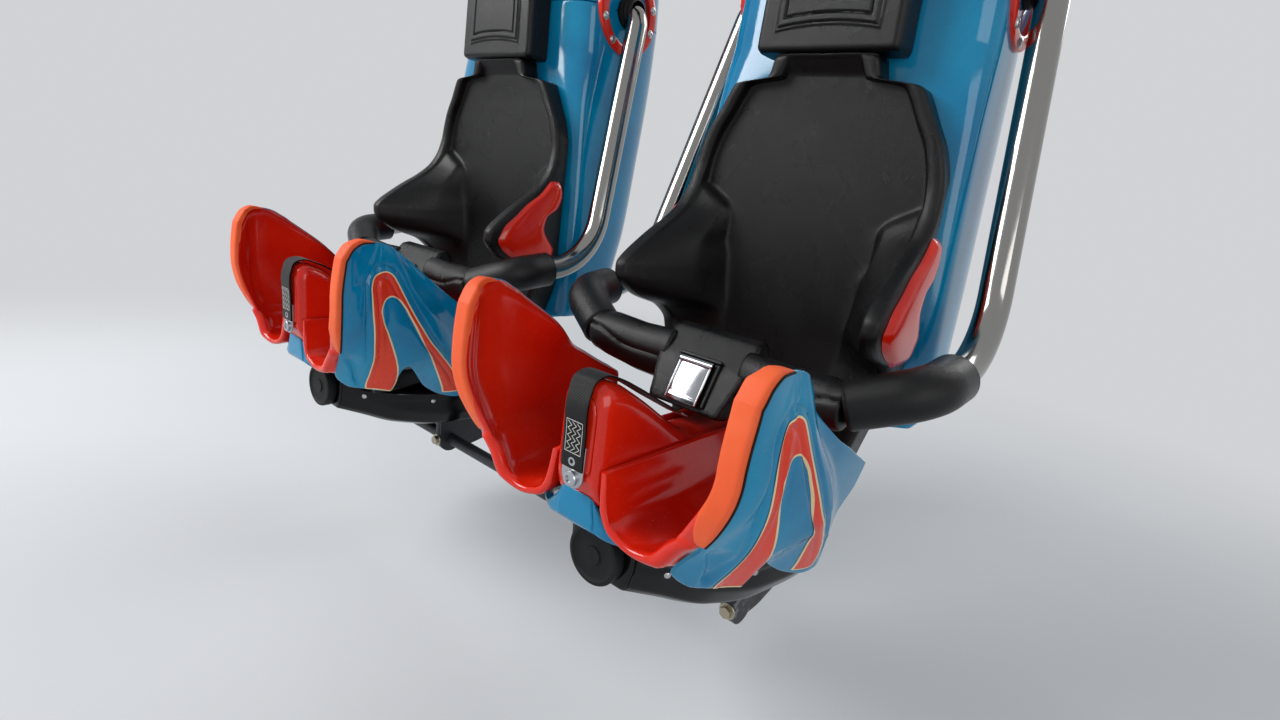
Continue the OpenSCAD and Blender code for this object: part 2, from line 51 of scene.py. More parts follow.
def curve(xs, ys, t, free=False):
    # cubic line through the listed values; unless free it never overshoots between two of them
    xs, ys = np.asarray(xs, float), np.asarray(ys, float)
    flat = ys.ndim == 1
    ys = ys[:, None] if flat else ys
    gap = np.diff(xs)[:, None]
    rise = np.diff(ys, axis=0) / gap
    slope = np.zeros_like(ys)
    slope[0], slope[-1] = rise[0], rise[-1]
    if free:
        slope[1:-1] = (gap[1:] * rise[:-1] + gap[:-1] * rise[1:]) / (gap[1:] + gap[:-1])
    else:
        same = rise[:-1] * rise[1:] > 0
        slope[1:-1] = np.where(same, 2 * rise[:-1] * rise[1:] / np.where(same, rise[:-1] + rise[1:], 1), 0)
    t = np.clip(np.asarray(t, float), xs[0], xs[-1])
    i = np.clip(np.searchsorted(xs, t, side="right") - 1, 0, len(xs) - 2)
    h = gap[i]
    u = (t - xs[i])[..., None] / h
    out = ((2 * u**3 - 3 * u**2 + 1) * ys[i] + (u**3 - 2 * u**2 + u) * h * slope[i]
           + (3 * u**2 - 2 * u**3) * ys[i + 1] + (u**3 - u**2) * h * slope[i + 1])
    return out[..., 0] if flat else out


def tableAt(rows, at):
    # smooth line through a table whose first column says where: one array for each other column
    q = np.array(rows, float)
    values = np.moveaxis(curve(q[:, 0], q[:, 1:], at), -1, 0)
    return values[0] if len(values) == 1 else values


def rowsAt(rows, t):
    # the same for a table without such a column, t counting its rows
    return np.moveaxis(curve(np.arange(len(rows)), rows, t), -1, 0)


def straight(rows, at):
    # straight lines between the rows of (where, value)
    return np.interp(at, *np.array(rows, float).T)


def stations(runs):
    # places along an axis, from runs of (from, to, how many)
    return np.unique(np.concatenate([np.linspace(*k) for k in runs]))


def along(p):
    # distance along a line of points from its first one
    return np.r_[0, np.cumsum(np.linalg.norm(np.diff(p, axis=0), axis=1))]


def evenly(p, n):
    # n evenly spaced points on a line of points
    d = along(p)
    at = np.linspace(0, d[-1], n)
    return np.stack([np.interp(at, d, p[:, k]) for k in range(p.shape[1])], -1)


def through(points, n):
    # n points evenly spaced along a smooth line through the given ones
    p = np.asarray(points, float)
    s = along(p)
    return evenly(curve(s, p, np.linspace(0, s[-1], 40 * len(p)), free=True), n)


def bent(points, radii, spacing=6.0):
    # straight runs joined by true bends: each corner gives way to an arc of its radius
    p = np.asarray(points, float)
    parts = [p[:1]]
    for before, corner, after, radius in zip(p, p[1:], p[2:], radii[1:]):
        a, b = corner - before, after - corner
        a, b = a / np.linalg.norm(a), b / np.linalg.norm(b)
        angle = math.acos(np.clip(a.dot(b), -1, 1))
        inward = b - a * a.dot(b)
        inward = inward / np.linalg.norm(inward)
        centre = corner - a * (radius * math.tan(angle / 2)) + inward * radius
        s = np.linspace(0, angle, max(6, int(radius * angle / spacing)))[:, None]
        parts.append(centre + radius * (a * np.sin(s) - inward * np.cos(s)))
    line = np.concatenate(parts + [p[-1:]])
    return evenly(line, int(along(line)[-1] / spacing) + 2)


def polyline(corners, counts):
    # straight steps from corner to corner, counts[k] points on step k; corners is (..., n, d)
    c = np.asarray(corners, float)
    parts = []
    for k, count in enumerate(counts):
        share = np.linspace(0, 1, count, endpoint=False)[:, None]
        parts.append(c[..., k:k + 1, :] + (c[..., k + 1:k + 2, :] - c[..., k:k + 1, :]) * share)
    return np.concatenate(parts + [c[..., -1:, :]], -2)


def soften(p, times, axis=0, closed=False):
    # each point moves halfway to the middle of its neighbours, so corners round off; open ends stay
    p = np.swapaxes(p, 0, axis).copy()
    for _ in range(times):
        if closed:
            p = 0.5 * p + 0.25 * (np.roll(p, 1, 0) + np.roll(p, -1, 0))
        else:
            p[1:-1] = 0.5 * p[1:-1] + 0.25 * (p[:-2] + p[2:])
    return np.swapaxes(p, 0, axis)


def loop(outline, count, times):
    # closed outline with count points on each side, its corners rounded off
    o = np.array(outline + outline[:1], float)
    return soften(polyline(o, [count] * len(outline))[:-1], times, 0, True)


def bump(x, mid, half):
    # a smooth hill of height one, cos squared, that reaches nothing half away from mid
    return np.where(np.abs(x - mid) < half, np.cos(np.clip((x - mid) / half, -1, 1) * math.pi / 2) ** 2, 0)


def step(x, a, b):
    # smooth rise from nothing at a to one at b
    t = np.clip((x - a) / (b - a), 0, 1)
    return t * t * (3 - 2 * t)


def edgeFall(near, width, depth):
    # how far a face falls at a distance from its edge: a quarter ellipse of this width and depth
    return depth * (1 - np.sqrt(np.clip(1 - (1 - np.clip(near, 0, width) / width) ** 2, 0, 1)))


def around(n, shift=0.0):
    # n angles round a circle
    return (np.arange(n) + shift) / n * 2 * math.pi


# grids: rows of points, each row open or a closed ring

def surface(p, closed=False, uv=None):
    return {"p": np.asarray(p, float), "closed": closed, "uv": uv}


def solid(p, r, rows=5):
    # rings p (n, m, 3): both ends close with a quarter-round edge of radius r and a flat middle
    def end(ring, nxt):
        mid = ring.mean(0)
        away = mid - nxt.mean(0)
        away = away / np.linalg.norm(away)
        far = np.linalg.norm(ring - mid, axis=1, keepdims=True)
        a = np.linspace(0, math.pi / 2, rows)[:, None, None]
        inward = 1 - np.minimum(r / far, 0.9) * (1 - np.cos(a))
        edge = mid + (ring - mid) * inward + away * r * (np.sin(a) - 1)
        middle = mid + (edge[-1] - mid) * np.array([0.66, 0.33, 0])[:, None, None]
        return np.concatenate([edge, middle])
    return surface(np.concatenate([end(p[0], p[1])[::-1], p[1:-1], end(p[-1], p[-2])]), True)


def tube(path, radius, n=32):
    # circle of the given radius carried along the path on a side and an up direction that don't twist
    t = np.gradient(path, axis=0)
    t = t / np.linalg.norm(t, axis=1, keepdims=True)
    up = np.cross(t[0], [1.0, 0.13, 0.07])
    ups = []
    for k in t:
        up = up - k * up.dot(k)
        up = up / np.linalg.norm(up)
        ups.append(up)
    ups = np.array(ups)
    a = around(n)[None, :, None]
    return path[:, None] + radius * (np.cos(a) * np.cross(t, ups)[:, None] + np.sin(a) * ups[:, None])


def turned(profile, n=64):
    # profile of (radius, height) rows turned about the Z axis
    q, a = np.asarray(profile, float), around(n)
    return np.stack([q[:, :1] * np.cos(a), q[:, :1] * np.sin(a), np.repeat(q[:, 1:], n, 1)], -1)


def aimed(p, at, x, y, z):
    # a piece made about the origin is set at a point, with its axes along x, y and z
    x, y, z = (np.asarray(k, float) for k in (x, y, z))
    return np.asarray(at, float) + p[..., :1] * x + p[..., 1:2] * y + p[..., 2:3] * z


def placed(p, at, axes):
    # the same as a closed surface
    return surface(aimed(p, at, *axes), True)


def block(size, r, n=5, fill=6):
    # block with all its edges rounded: a rounded rectangle ring carried up, ends closed by quarter rounds
    w, d, h = size[0] / 2, size[1] / 2, size[2]
    a = np.linspace(0, math.pi / 2, n)
    corners = (1, 1, 0), (-1, 1, math.pi / 2), (-1, -1, math.pi), (1, -1, 3 * math.pi / 2)
    ring = np.concatenate([np.stack([sx * (w - r) + r * np.cos(a + q), sy * (d - r) + r * np.sin(a + q)], -1)
                           for sx, sy, q in corners])
    back, up = r * (1 - np.sin(a)), r * (1 - np.cos(a))
    inset = np.r_[back, np.zeros(fill), back[::-1]]
    z = np.r_[up, np.linspace(r, h - r, fill + 2)[1:-1], (h - up)[::-1]]
    k = np.stack([(w - inset) / w, (d - inset) / d], -1)
    p = np.concatenate([ring[None] * k[:, None], np.repeat(z[:, None, None], len(ring), 1)], -1)
    half, none = np.array([0.5, 0.5, 1]), np.array([0, 0, 1])
    return np.concatenate([[p[0] * none, p[0] * half], p, [p[-1] * half, p[-1] * none]])


def gathered(corners):
    # corners given as (across, up) arrays over the stations: one array (station, corner, 2)
    return np.stack([np.stack(k, -1) for k in corners], 1)


def carried(half, counts, y, times):
    # half a section at each station y, given by its corners, mirrored into a ring and rounded off a little
    p = polyline(gathered(half), counts)
    p = np.concatenate([p[:, :-1], (p * [-1, 1])[:, :0:-1]], 1)
    p = np.stack([p[..., 0], np.broadcast_to(y[:, None], p.shape[:2]), p[..., 1]], -1)
    return soften(p, times, 1, True)


def slabGrids(a, b, bull=0.0):
    # outer grid a and inner grid b joined round their four edges, each bulging by a part of half their gap
    def strip(x, y, xIn, yIn):
        mid, half = 0.5 * (x + y), 0.5 * (x - y)
        away = mid - 0.5 * (xIn + yIn)
        away = away / np.linalg.norm(away, axis=1, keepdims=True)
        thick = np.linalg.norm(half, axis=1, keepdims=True)
        count = np.arange(len(x))
        fade = np.clip(np.minimum(count, count[::-1]) / 5, 0, 1)[:, None]
        return surface(np.stack([mid + half * math.cos(k) + away * fade * bull * math.sin(k) * thick
                                 for k in np.linspace(0, math.pi, 7)]))
    return [surface(a), surface(b), strip(a[0], b[0], a[1], b[1]), strip(a[-1], b[-1], a[-2], b[-2]),
            strip(a[:, 0], b[:, 0], a[:, 1], b[:, 1]), strip(a[:, -1], b[:, -1], a[:, -2], b[:, -2])]


def mirrored(grids):
    # the same surfaces on both sides of the seat's middle
    return list(grids) + [dict(g, p=g["p"] * [-1, 1, 1]) for g in grids]


def makePiece(seat, name, grids, finish, node="", body="row", sharp=50):
    # grids in seat millimetres become one mesh in the row's metres, doubles merged and faces outwards. A
    # piece of a seat has the seat's word before its name, before the node it stands for and its moving body
    side, word = seats.get(seat, 0), f"{seat}_" if seat else ""
    shift = np.array([side * row["pitch"] / 2, row["shift"] if side else 0, -row["hang"] if side else 0])
    points, quads, uvs, start = [], [], [], 0
    for g in grids:
        n, m = g["p"].shape[:2]
        i, j = np.meshgrid(np.arange(n - 1), np.arange(m if g["closed"] else m - 1), indexing="ij")
        k = (j + 1) % m
        corners = [i * m + j, i * m + k, (i + 1) * m + k, (i + 1) * m + j]
        quads.append(np.stack(corners, -1).reshape(-1, 4) + start)
        points.append(g["p"].reshape(-1, 3))
        uvs.append(np.zeros((n * m, 2)) if g["uv"] is None else g["uv"].reshape(-1, 2))
        start += n * m
    points = (np.concatenate(points) + shift) / 1000
    quads, uvs = np.concatenate(quads), np.concatenate(uvs)
    mesh = bpy.data.meshes.new(word + name)
    mesh.vertices.add(len(points))
    mesh.vertices.foreach_set("co", points.astype(np.float32).ravel())
    mesh.loops.add(quads.size)
    mesh.loops.foreach_set("vertex_index", quads.astype(np.int32).ravel())
    mesh.polygons.add(len(quads))
    mesh.polygons.foreach_set("loop_start", np.arange(0, quads.size, 4, dtype=np.int32))
    mesh.update(calc_edges=True)
    layer = mesh.uv_layers.new(name="run")
    layer.data.foreach_set("uv", uvs[quads.ravel()].astype(np.float32).ravel())
    b = bmesh.new()
    b.from_mesh(mesh)
    bmesh.ops.remove_doubles(b, verts=b.verts, dist=2e-6)
    bmesh.ops.dissolve_degenerate(b, edges=b.edges, dist=1e-7)
    bmesh.ops.recalc_face_normals(b, faces=b.faces)
    b.to_mesh(mesh)
    b.free()
    mesh.shade_smooth()
    mesh.set_sharp_from_angle(angle=math.radians(sharp))
    mesh.validate()
    piece = bpy.data.objects.new(word + name, mesh)
    bpy.context.scene.collection.objects.link(piece)
    slot, material = finish
    mesh.materials.append(material)
    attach(piece, body if body == "row" else word + body)
    if node:
        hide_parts(word + node)
    return piece


# materials

def colour(code):
    # sRGB hex to linear red, green, blue
    c = np.array([int(code[i:i + 2], 16) for i in (1, 3, 5)]) / 255
    return (*np.where(c <= 0.04045, c / 12.92, ((c + 0.055) / 1.055) ** 2.4), 1.0)


def add(tree, kind, settings=None, **links):
    # one node, its settings, and what feeds each of its inputs; i0 is the first input
    node = tree.nodes.new(kind)
    for key, value in (settings or {}).items():
        if isinstance(key, str) and hasattr(node, key):
            setattr(node, key, value)
        else:
            node.inputs[key].default_value = value
    for key, source in links.items():
        tree.links.new(source, node.inputs[int(key[1:]) if key[1:].isdigit() else key])
    return node


def feed(tree, main, **sources):
    # links into the shader; an underline stands for a space
    for key, source in sources.items():
        tree.links.new(source, main.inputs[key.replace("_", " ")])


def ramp(tree, source, stops):
    # grey levels at the listed places of the source
    node = add(tree, "ShaderNodeValToRGB", {}, Fac=source)
    while len(node.color_ramp.elements) < len(stops):
        node.color_ramp.elements.new(0.5)
    for element, (at, value) in zip(node.color_ramp.elements, stops):
        element.position = at
        element.color = (value, value, value, 1)
    return node.outputs["Color"]


def newMaterial(name, shader):
    material = bpy.data.materials.new(name)
    material.use_nodes = True
    tree = material.node_tree
    tree.nodes.clear()
    out = tree.nodes.new("ShaderNodeOutputMaterial")
    main = add(tree, "ShaderNodeBsdfPrincipled", shader)
    tree.links.new(main.outputs[0], out.inputs[0])
    place = tree.nodes.new("ShaderNodeTexCoord").outputs["Object"]
    return material, tree, main, place


def noise(tree, place, scale, detail=3, rough=0.5, stretch=None):
    # noise whose cells are about 1/scale metres; stretch draws it out along an axis
    if stretch:
        place = add(tree, "ShaderNodeMapping", {"Scale": stretch}, Vector=place).outputs[0]
    settings = {"Scale": scale, "Detail": detail, "Roughness": rough}
    return add(tree, "ShaderNodeTexNoise", settings, Vector=place).outputs["Fac"]


def mix(tree, a, b, fac, kind="MIX"):
    # from a to b by fac; each may be a value or another node's output
    node = add(tree, "ShaderNodeMix", {"data_type": "RGBA", "blend_type": kind})
    for socket, value in ((node.inputs[0], fac), (node.inputs[6], a), (node.inputs[7], b)):
        if isinstance(value, (tuple, float, int)):
            socket.default_value = value
        else:
            tree.links.new(value, socket)
    return node.outputs[2]


def mathNode(tree, kind, a, b):
    return add(tree, "ShaderNodeMath", {"operation": kind}, i0=a, i1=b).outputs[0]


def felt(tree, height, strength, distance):
    # relief that shows in the light only
    return add(tree, "ShaderNodeBump", {"Strength": strength, "Distance": distance}, Height=height).outputs[0]


def gelcoat(name, deep, pale, rough, dust, coat=0.12, shine=0.42):
    # glass-fibre moulding with a sprayed polyester gelcoat: deep even colour under a clear gloss, with a
    # slight orange peel of 8 mm, hair scratches from use and a little dull dust
    material, tree, main, place = newMaterial(name, {
        "Roughness": rough, "IOR": 1.46, "Specular IOR Level": shine,
        "Coat Weight": coat, "Coat Roughness": 0.04})
    cloud = ramp(tree, noise(tree, place, 6, 4, 0.55), [(0.3, 0.0), (0.75, 1.0)])
    scratch = ramp(tree, noise(tree, place, 90, 2, 0.5, (1, 1, 9)), [(0.66, 0.0), (0.7, 1.0)])
    share = add(tree, "ShaderNodeMath", {"operation": "MULTIPLY", 1: 0.07}, i0=scratch).outputs[0]
    feed(tree, main, Base_Color=mix(tree, mix(tree, colour(deep), colour(pale), cloud), colour(dust), share),
         Roughness=ramp(tree, noise(tree, place, 22, 5, 0.6), [(0.35, rough * 0.8), (0.8, rough * 1.6)]),
         Normal=felt(tree, noise(tree, place, 125, 2), 0.06, 0.001))
    return material


def skinFoam(name, base, worn, grain=520, rough=0.5):
    # self-skinned polyurethane foam cast in a grained mould: satin, with a leather grain of 2 mm or finer and
    # a paler polish where it is rubbed. The vinyl trims, the rubber and the thread have such a skin too
    material, tree, main, place = newMaterial(name, {
        "Roughness": rough, "IOR": 1.5, "Specular IOR Level": 0.26})
    rub = ramp(tree, noise(tree, place, 5, 4, 0.6), [(0.4, 0.0), (0.75, 1.0)])
    cells = add(tree, "ShaderNodeTexVoronoi", {"Scale": grain, "feature": "DISTANCE_TO_EDGE"}, Vector=place)
    height = mix(tree, ramp(tree, cells.outputs["Distance"], [(0.0, 0.0), (0.16, 1.0)]),
                 noise(tree, place, grain * 1.7, 2), 0.35)
    feed(tree, main, Base_Color=mix(tree, colour(base), colour(worn), rub),
         Roughness=ramp(tree, noise(tree, place, 11, 3), [(0.3, rough - 0.1), (0.8, rough + 0.1)]),
         Normal=felt(tree, height, 0.35, 0.0006))
    return material


def steelSkin(name, base, rough, lines=None):
    # stainless steel, chrome or zinc: polished, or brushed along the piece, and dulled by faint finger marks
    material, tree, main, place = newMaterial(name, {"Metallic": 1.0, "Roughness": rough})
    marks = noise(tree, place, 14, 4, 0.6)
    dull = ramp(tree, marks, [(0.5, 0.0), (0.85, 0.35)])
    feed(tree, main, Base_Color=mix(tree, colour(base), colour("#8d8f92"), dull),
         Roughness=ramp(tree, marks, [(0.3, rough * 0.75), (0.8, rough * 1.5)]))
    if lines:
        feed(tree, main, Normal=felt(tree, noise(tree, place, 260, 2, 0.5, lines), 0.08, 0.0004))
    return material


def paintedSteel(name, base, chip):
    # welded mild steel under two coats of satin alkyd paint, with a fine spray texture and edge chips
    material, tree, main, place = newMaterial(name, {"Roughness": 0.42, "IOR": 1.5})
    edge = add(tree, "ShaderNodeNewGeometry").outputs["Pointiness"]
    spots = noise(tree, place, 60, 5, 0.7)
    wear = mathNode(tree, "MULTIPLY", ramp(tree, edge, [(0.55, 0.0), (0.62, 1.0)]),
                    ramp(tree, spots, [(0.5, 0.0), (0.58, 1.0)]))
    cloud = ramp(tree, noise(tree, place, 4, 4), [(0.4, 0.0), (0.8, 0.5)])
    tone = mix(tree, colour(base), colour("#4b4f56"), cloud)
    feed(tree, main, Base_Color=mix(tree, tone, colour(chip), wear),
         Roughness=ramp(tree, spots, [(0.3, 0.36), (0.8, 0.55)]),
         Normal=felt(tree, noise(tree, place, 420, 2), 0.12, 0.0005))
    return material


def webbing(name):
    # woven polyester seat-belt webbing, black with a dull sheen: ribs across a 1.6 mm pitch, drawn coarser
    # than real so that they show
    material, tree, main, place = newMaterial(name, {
        "Roughness": 0.4, "IOR": 1.5, "Specular IOR Level": 0.18, "Sheen Weight": 0.06,
        "Sheen Roughness": 0.4})
    run = add(tree, "ShaderNodeUVMap", {"uv_map": "run"}).outputs[0]

    def wave(way, scale, turn):
        settings = {"Scale": scale, "bands_direction": way, "Distortion": turn}
        return add(tree, "ShaderNodeTexWave", settings, Vector=run).outputs["Fac"]
    weave = mix(tree, wave("X", 190.0, 0.4), wave("Y", 120.0, 0.6), 0.5, "MULTIPLY")
    feed(tree, main, Base_Color=mix(tree, colour("#020203"), colour("#101113"), weave),
         Normal=felt(tree, weave, 0.6, 0.0006))
    return material


# each finish is a slot of the part's record and the material that shows it
blueGelcoat = "blue_gelcoat", gelcoat("blueGelcoat", "#006a98", "#038ab2", 0.09, "#8fb4c6")
redGelcoat = "red_gelcoat", gelcoat("redGelcoat", "#c61706", "#dc2a10", 0.17, "#e9a493")
stripeRed = "red_gelcoat", gelcoat("stripeRed", "#d0260c", "#e03e1c", 0.22, "#e9a493")
stripeCream = "blue_gelcoat", gelcoat("stripeCream", "#d9bf8f", "#e6d2a6", 0.3, "#fff4dc")
trayGloss = "black_gloss", gelcoat("trayGloss", "#040404", "#090a0a", 0.16, "#55585c", 0.0, 0.3)
rimSoft = "rim_orange", skinFoam("rimSoftVinyl", "#ec5b2c", "#f57446", 700, 0.55)
seatFoam = "black_skin_foam", skinFoam("seatSkinFoam", "#070708", "#0f1011", 620, 0.32)
sleeveFoam = "black_sleeve", skinFoam("sleeveSkinFoam", "#060607", "#0d0e0f", 640, 0.34)
bootRubber = "black_rubber", skinFoam("bootRubber", "#060607", "#0e0f10", 900, 0.6)
polishedTube = "stainless_tube", steelSkin("polishedStainlessTube", "#94928e", 0.13, (1, 1, 0.06))
satinBolt = "stainless_bolt", steelSkin("satinStainlessBolt", "#b8b9ba", 0.28)
brushedPlate = "stainless_plate", steelSkin("brushedStainlessPlate", "#b4b7bb", 0.3, (14, 1, 1))
chromeLid = "chrome", steelSkin("chromedZincLid", "#9fa1a4", 0.13)
zincBolt = "stainless_bolt", steelSkin("zincPlatedBolt", "#b3aa94", 0.3)
beamPaint = "dark_steel", paintedSteel("greyPaintedSteel", "#33373d", "#5d6166")
rodPaint = "black_steel", paintedSteel("blackPaintedSteel", "#17181b", "#6c6f73")
beltWebbing = "black_webbing", webbing("blackBeltWebbing")
threadWhite = "black_webbing", skinFoam("whiteThread", "#cfcfca", "#e6e6e2", 1500, 0.7)
print("materials made")


# back shell: two blue mouldings that meet at the height of the pivots

shell = {"halfTop": 228, "halfLow": 267, "foot": 108, "depth": 372, "top": 1182, "seam": 3, "gap": 0.8,
         "ringY": 140, "ringZ": 828, "middle": 70, "square": [[600, 5], [720, 3]],
         "low": [[0, .82, .255], [.014, .95, .349], [.044, .985, .462], [.086, 1, .565], [.142, 1, .656],
                 [.211, 1, .72], [.308, 1, .796], [.544, 1, .887], [.822, 1, .973], [1, 1, 1]],
         "high": [[0, 1, 1], [.43, .961, .968], [.712, .889, .874], [.881, .774, .753], [.966, .622, .618],
                  [1, .41, .484]]}


def shellGrid(z, n=140):
    # rounded box ring: x = w cos^k, y = c + (d - c) sin^k, squarer in front than behind. Half width w and
    # depth d are a straight taper times a table towards each end
    foot, ringZ, top = shell["foot"], shell["ringZ"], shell["top"]
    w, d = np.where(z < ringZ, tableAt(shell["low"], (z - foot) / (ringZ - foot)),
                    tableAt(shell["high"], (z - ringZ) / (top - ringZ)))
    w = (w * np.interp(z, [foot, ringZ], [shell["halfLow"], shell["halfTop"]]))[:, None]
    d = (d * shell["depth"])[:, None]
    a = around(n, 0.5) - math.pi / 2
    s, c = np.sin(a), np.cos(a)
    mid = np.minimum(shell["middle"], d * 0.35)
    k = np.where(s < 0, 2 / straight(shell["square"], z)[:, None], 2 / 3)
    x = w * np.sign(c) * np.abs(c) ** k
    y = mid + np.where(s < 0, mid, d - mid) * np.sign(s) * np.abs(s) ** k
    return np.stack([x, y, np.broadcast_to(z[:, None], x.shape)], -1)


def makeShells(seat):
    # the two mouldings leave a fine gap at the seam
    seam, gap = shell["ringZ"] - shell["seam"], shell["gap"]
    lower, upper = np.linspace(shell["foot"], seam - gap, 80), np.linspace(seam + gap, shell["top"], 55)
    makePiece(seat, "backMoulding", [solid(shellGrid(lower), 3.0)], blueGelcoat, "back_shell", sharp=60)
    makePiece(seat, "capMoulding", [solid(shellGrid(upper), 3.0)], blueGelcoat, "shell_cap", sharp=60)


pivot = {"r": 95, "band": 24, "bolts": 10, "bolt": 7.5, "dish": 38, "inset": 12}


def makePivots(seat):
    # rings, dished discs and domed bolts: profiles of (radius, height) turned about the pivot's axis
    r, i, d, b = pivot["r"], pivot["r"] - pivot["band"], pivot["dish"], pivot["bolt"]
    ring = [[i, 2], [i, 19.5], [i + 0.8, 21.3], [i + 2.5, 22], [i + 9, 22], [r - 9, 22], [r - 2.5, 22],
            [r - 0.8, 21.2], [r, 19.5], [r, 2], [i, 2]]
    disc = [[0, 0], [i - 0.4, 0], [i - 0.4, 11], [i - 1.2, 11.8], [i - 3, 12], [d + 4, 12], [d + 1.5, 11.6],
            [d, 10], [d - 0.6, 8.2], [d - 3, 8], [0, 8]]
    head = [[b + 1.6, 22], [b + 1.6, 22.8], [b + 1.1, 23.3], [b, 23.4], [b * 0.96, 24.4], [b * 0.8, 25.6],
            [b * 0.5, 26.2], [b * 0.42, 26.2], [b * 0.38, 24.6], [0, 24.5]]
    heads = [turned(head, 18) + [(r + i) / 2 * math.cos(k), (r + i) / 2 * math.sin(k), 0]
             for k in around(pivot["bolts"], 0.5)]
    at = [shell["halfTop"] - pivot["inset"], shell["ringY"], shell["ringZ"]]
    for name, grids, finish, node in (("pivotRings", [turned(ring, 120)], redGelcoat, "pivot_rings"),
                                      ("pivotDiscs", [turned(disc, 120)], blueGelcoat, "pivot_discs"),
                                      ("ringBolts", heads, satinBolt, "ring_bolts")):
        makePiece(seat, name, mirrored([placed(g, at, sideways) for g in grids]), finish, node, sharp=35)
    print(seat, "shell and pivots")


# moulded seat: back, raised border, shoulders and neck in one skinned foam casting

bucket = {"rimY": [[0, -60], [200, -64], [235, -100], [245, -140], [256, -172], [275, -200], [295, -214],
                   [311, -214], [325, -203], [350, -172], [373, -140], [400, -98], [431, -63], [470, -42],
                   [511, -35], [600, -38], [646, -42], [690, -46]],
          "rimX": [[0, 172], [120, 200], [200, 228], [256, 236], [311, 242], [400, 236], [470, 231],
                   [511, 226], [560, 212], [600, 190], [630, 174], [646, 162], [656, 100], [690, 90]],
          "backY": [[0, -30], [60, -14], [200, -8], [400, -14], [600, -20], [690, -28]],
          "foot": [[-6, 0.5], [200, 0.55], [340, 0.6], [376, 0.66], [690, 0.66]],
          "crease": [[-6, 0.7], [300, 0.7], [376, 0.745], [690, 0.745]],
          "lift": [[-6, 0.3], [300, 0.34], [376, 0.5], [690, 0.5]],
          "border": [[-6, 9], [400, 9], [450, 10], [480, 14], [505, 40]],  # how high it stands
          "relief": [[-6, 0], [60, 1], [662, 1], [690, 0]], "band": 26, "rear": 225,
          "roof": {"x": 155, "z": 437, "rise": 0.606, "fall": 2.2},
          "runs": [[-6, 640, 150], [640, 662, 12], [662, 690, 7]], "counts": [10, 14, 18, 5, 5, 5, 4, 6, 4],
          "pan": [312, 158, 52], "panAt": [0, -81, -49]}


def makeBucket(seat):
    # one ring of corners per height, joined by straight steps, then corners lightly rounded. From the middle
    # out: flat back, foot of the side facet, its crease, the steep step of the raised border, the border's
    # flat face, the outer side. The relief fades to nothing at the foot and at the neck
    z = stations(bucket["runs"])
    x, y, b = (tableAt(bucket[k], z) for k in ("rimX", "rimY", "backY"))
    foot, crease, lift = (tableAt(bucket[k], z) for k in ("foot", "crease", "lift"))
    h = straight(bucket["relief"], z)
    g = 1 - h
    edge, rear = x - bucket["band"], np.minimum(x, bucket["rear"])
    wall = h * np.minimum(b, y + straight(bucket["border"], z)) + g * (y - 3.4)
    lift = h * (b + (wall - b) * lift) + g * (y - 3.6)
    flat = h * b + g * (y - 3.7)

    def roofed(x, y):
        # each bolster ends in a roof: above a line that rises outwards, its face falls back to the flat back
        r = bucket["roof"]
        above = np.maximum(0, z - r["z"] - r["rise"] * (x - r["x"]))
        return np.minimum(np.maximum(flat, y), y + r["fall"] * above)
    half = gathered([[rear * 0, flat], [edge * foot, flat], [edge * crease, lift],
                     [edge - 3.5, roofed(edge - 3.5, wall)], [edge + 1, y + 1.2 * h - 2.5 * g],
                     [x - 15, y - 1.6 * h - 1.2 * g], [x - 5, y], [x, y + 5], [x, (y + 4) * 0.5],
                     [rear, rear * 0]])
    p = polyline(half, bucket["counts"])
    half[:, 3, 1] = wall
    face = polyline(half[:, :4], bucket["counts"][:3])
    p[:, :face.shape[1], 1] = roofed(face[..., 0].T, face[..., 1].T).T
    p = np.concatenate([p[:, ::-1], (p * [-1, 1])[:, 1:]], 1)
    p = np.concatenate([p, np.broadcast_to(z[:, None, None], p.shape[:2] + (1,))], -1)
    p = soften(soften(p, 2, 1), 1, 0)
    back = p[:, [0, -1]].mean(1)[:, None]
    ring = np.concatenate([p, back + (p[:, -1:] - back) * 0.5, back + (p[:, :1] - back) * 0.5], 1)
    pan = block(bucket["pan"], 9) + bucket["panAt"]
    grids = [solid(ring, 3.0), surface(pan, True)]
    piece = makePiece(seat, "seatMoulding", grids, seatFoam, "seat_bucket", sharp=38)


headrest = {"face": -58, "grooves": (0, 13), "depth": 3.2, "inset": 5.5, "edge": 12, "end": 8,
            "width": [[692, 119.3], [702, 123], [760, 121.8], [900, 116.9], [985, 105.8], [1010, 92]],
            "inner": [[716, 85.4], [724, 88], [900, 82.7], [960, 76]], "innerLow": 722, "innerTop": 962,
            "rows": [692, 716, 756, 930, 966, 1010], "rowCounts": [8, 30, 20, 28, 10],
            "columns": [-1, -0.88, -0.76, -0.48, 0.48, 0.76, 0.88, 1],
            "columnCounts": [8, 5, 26, 14, 26, 5, 8]}


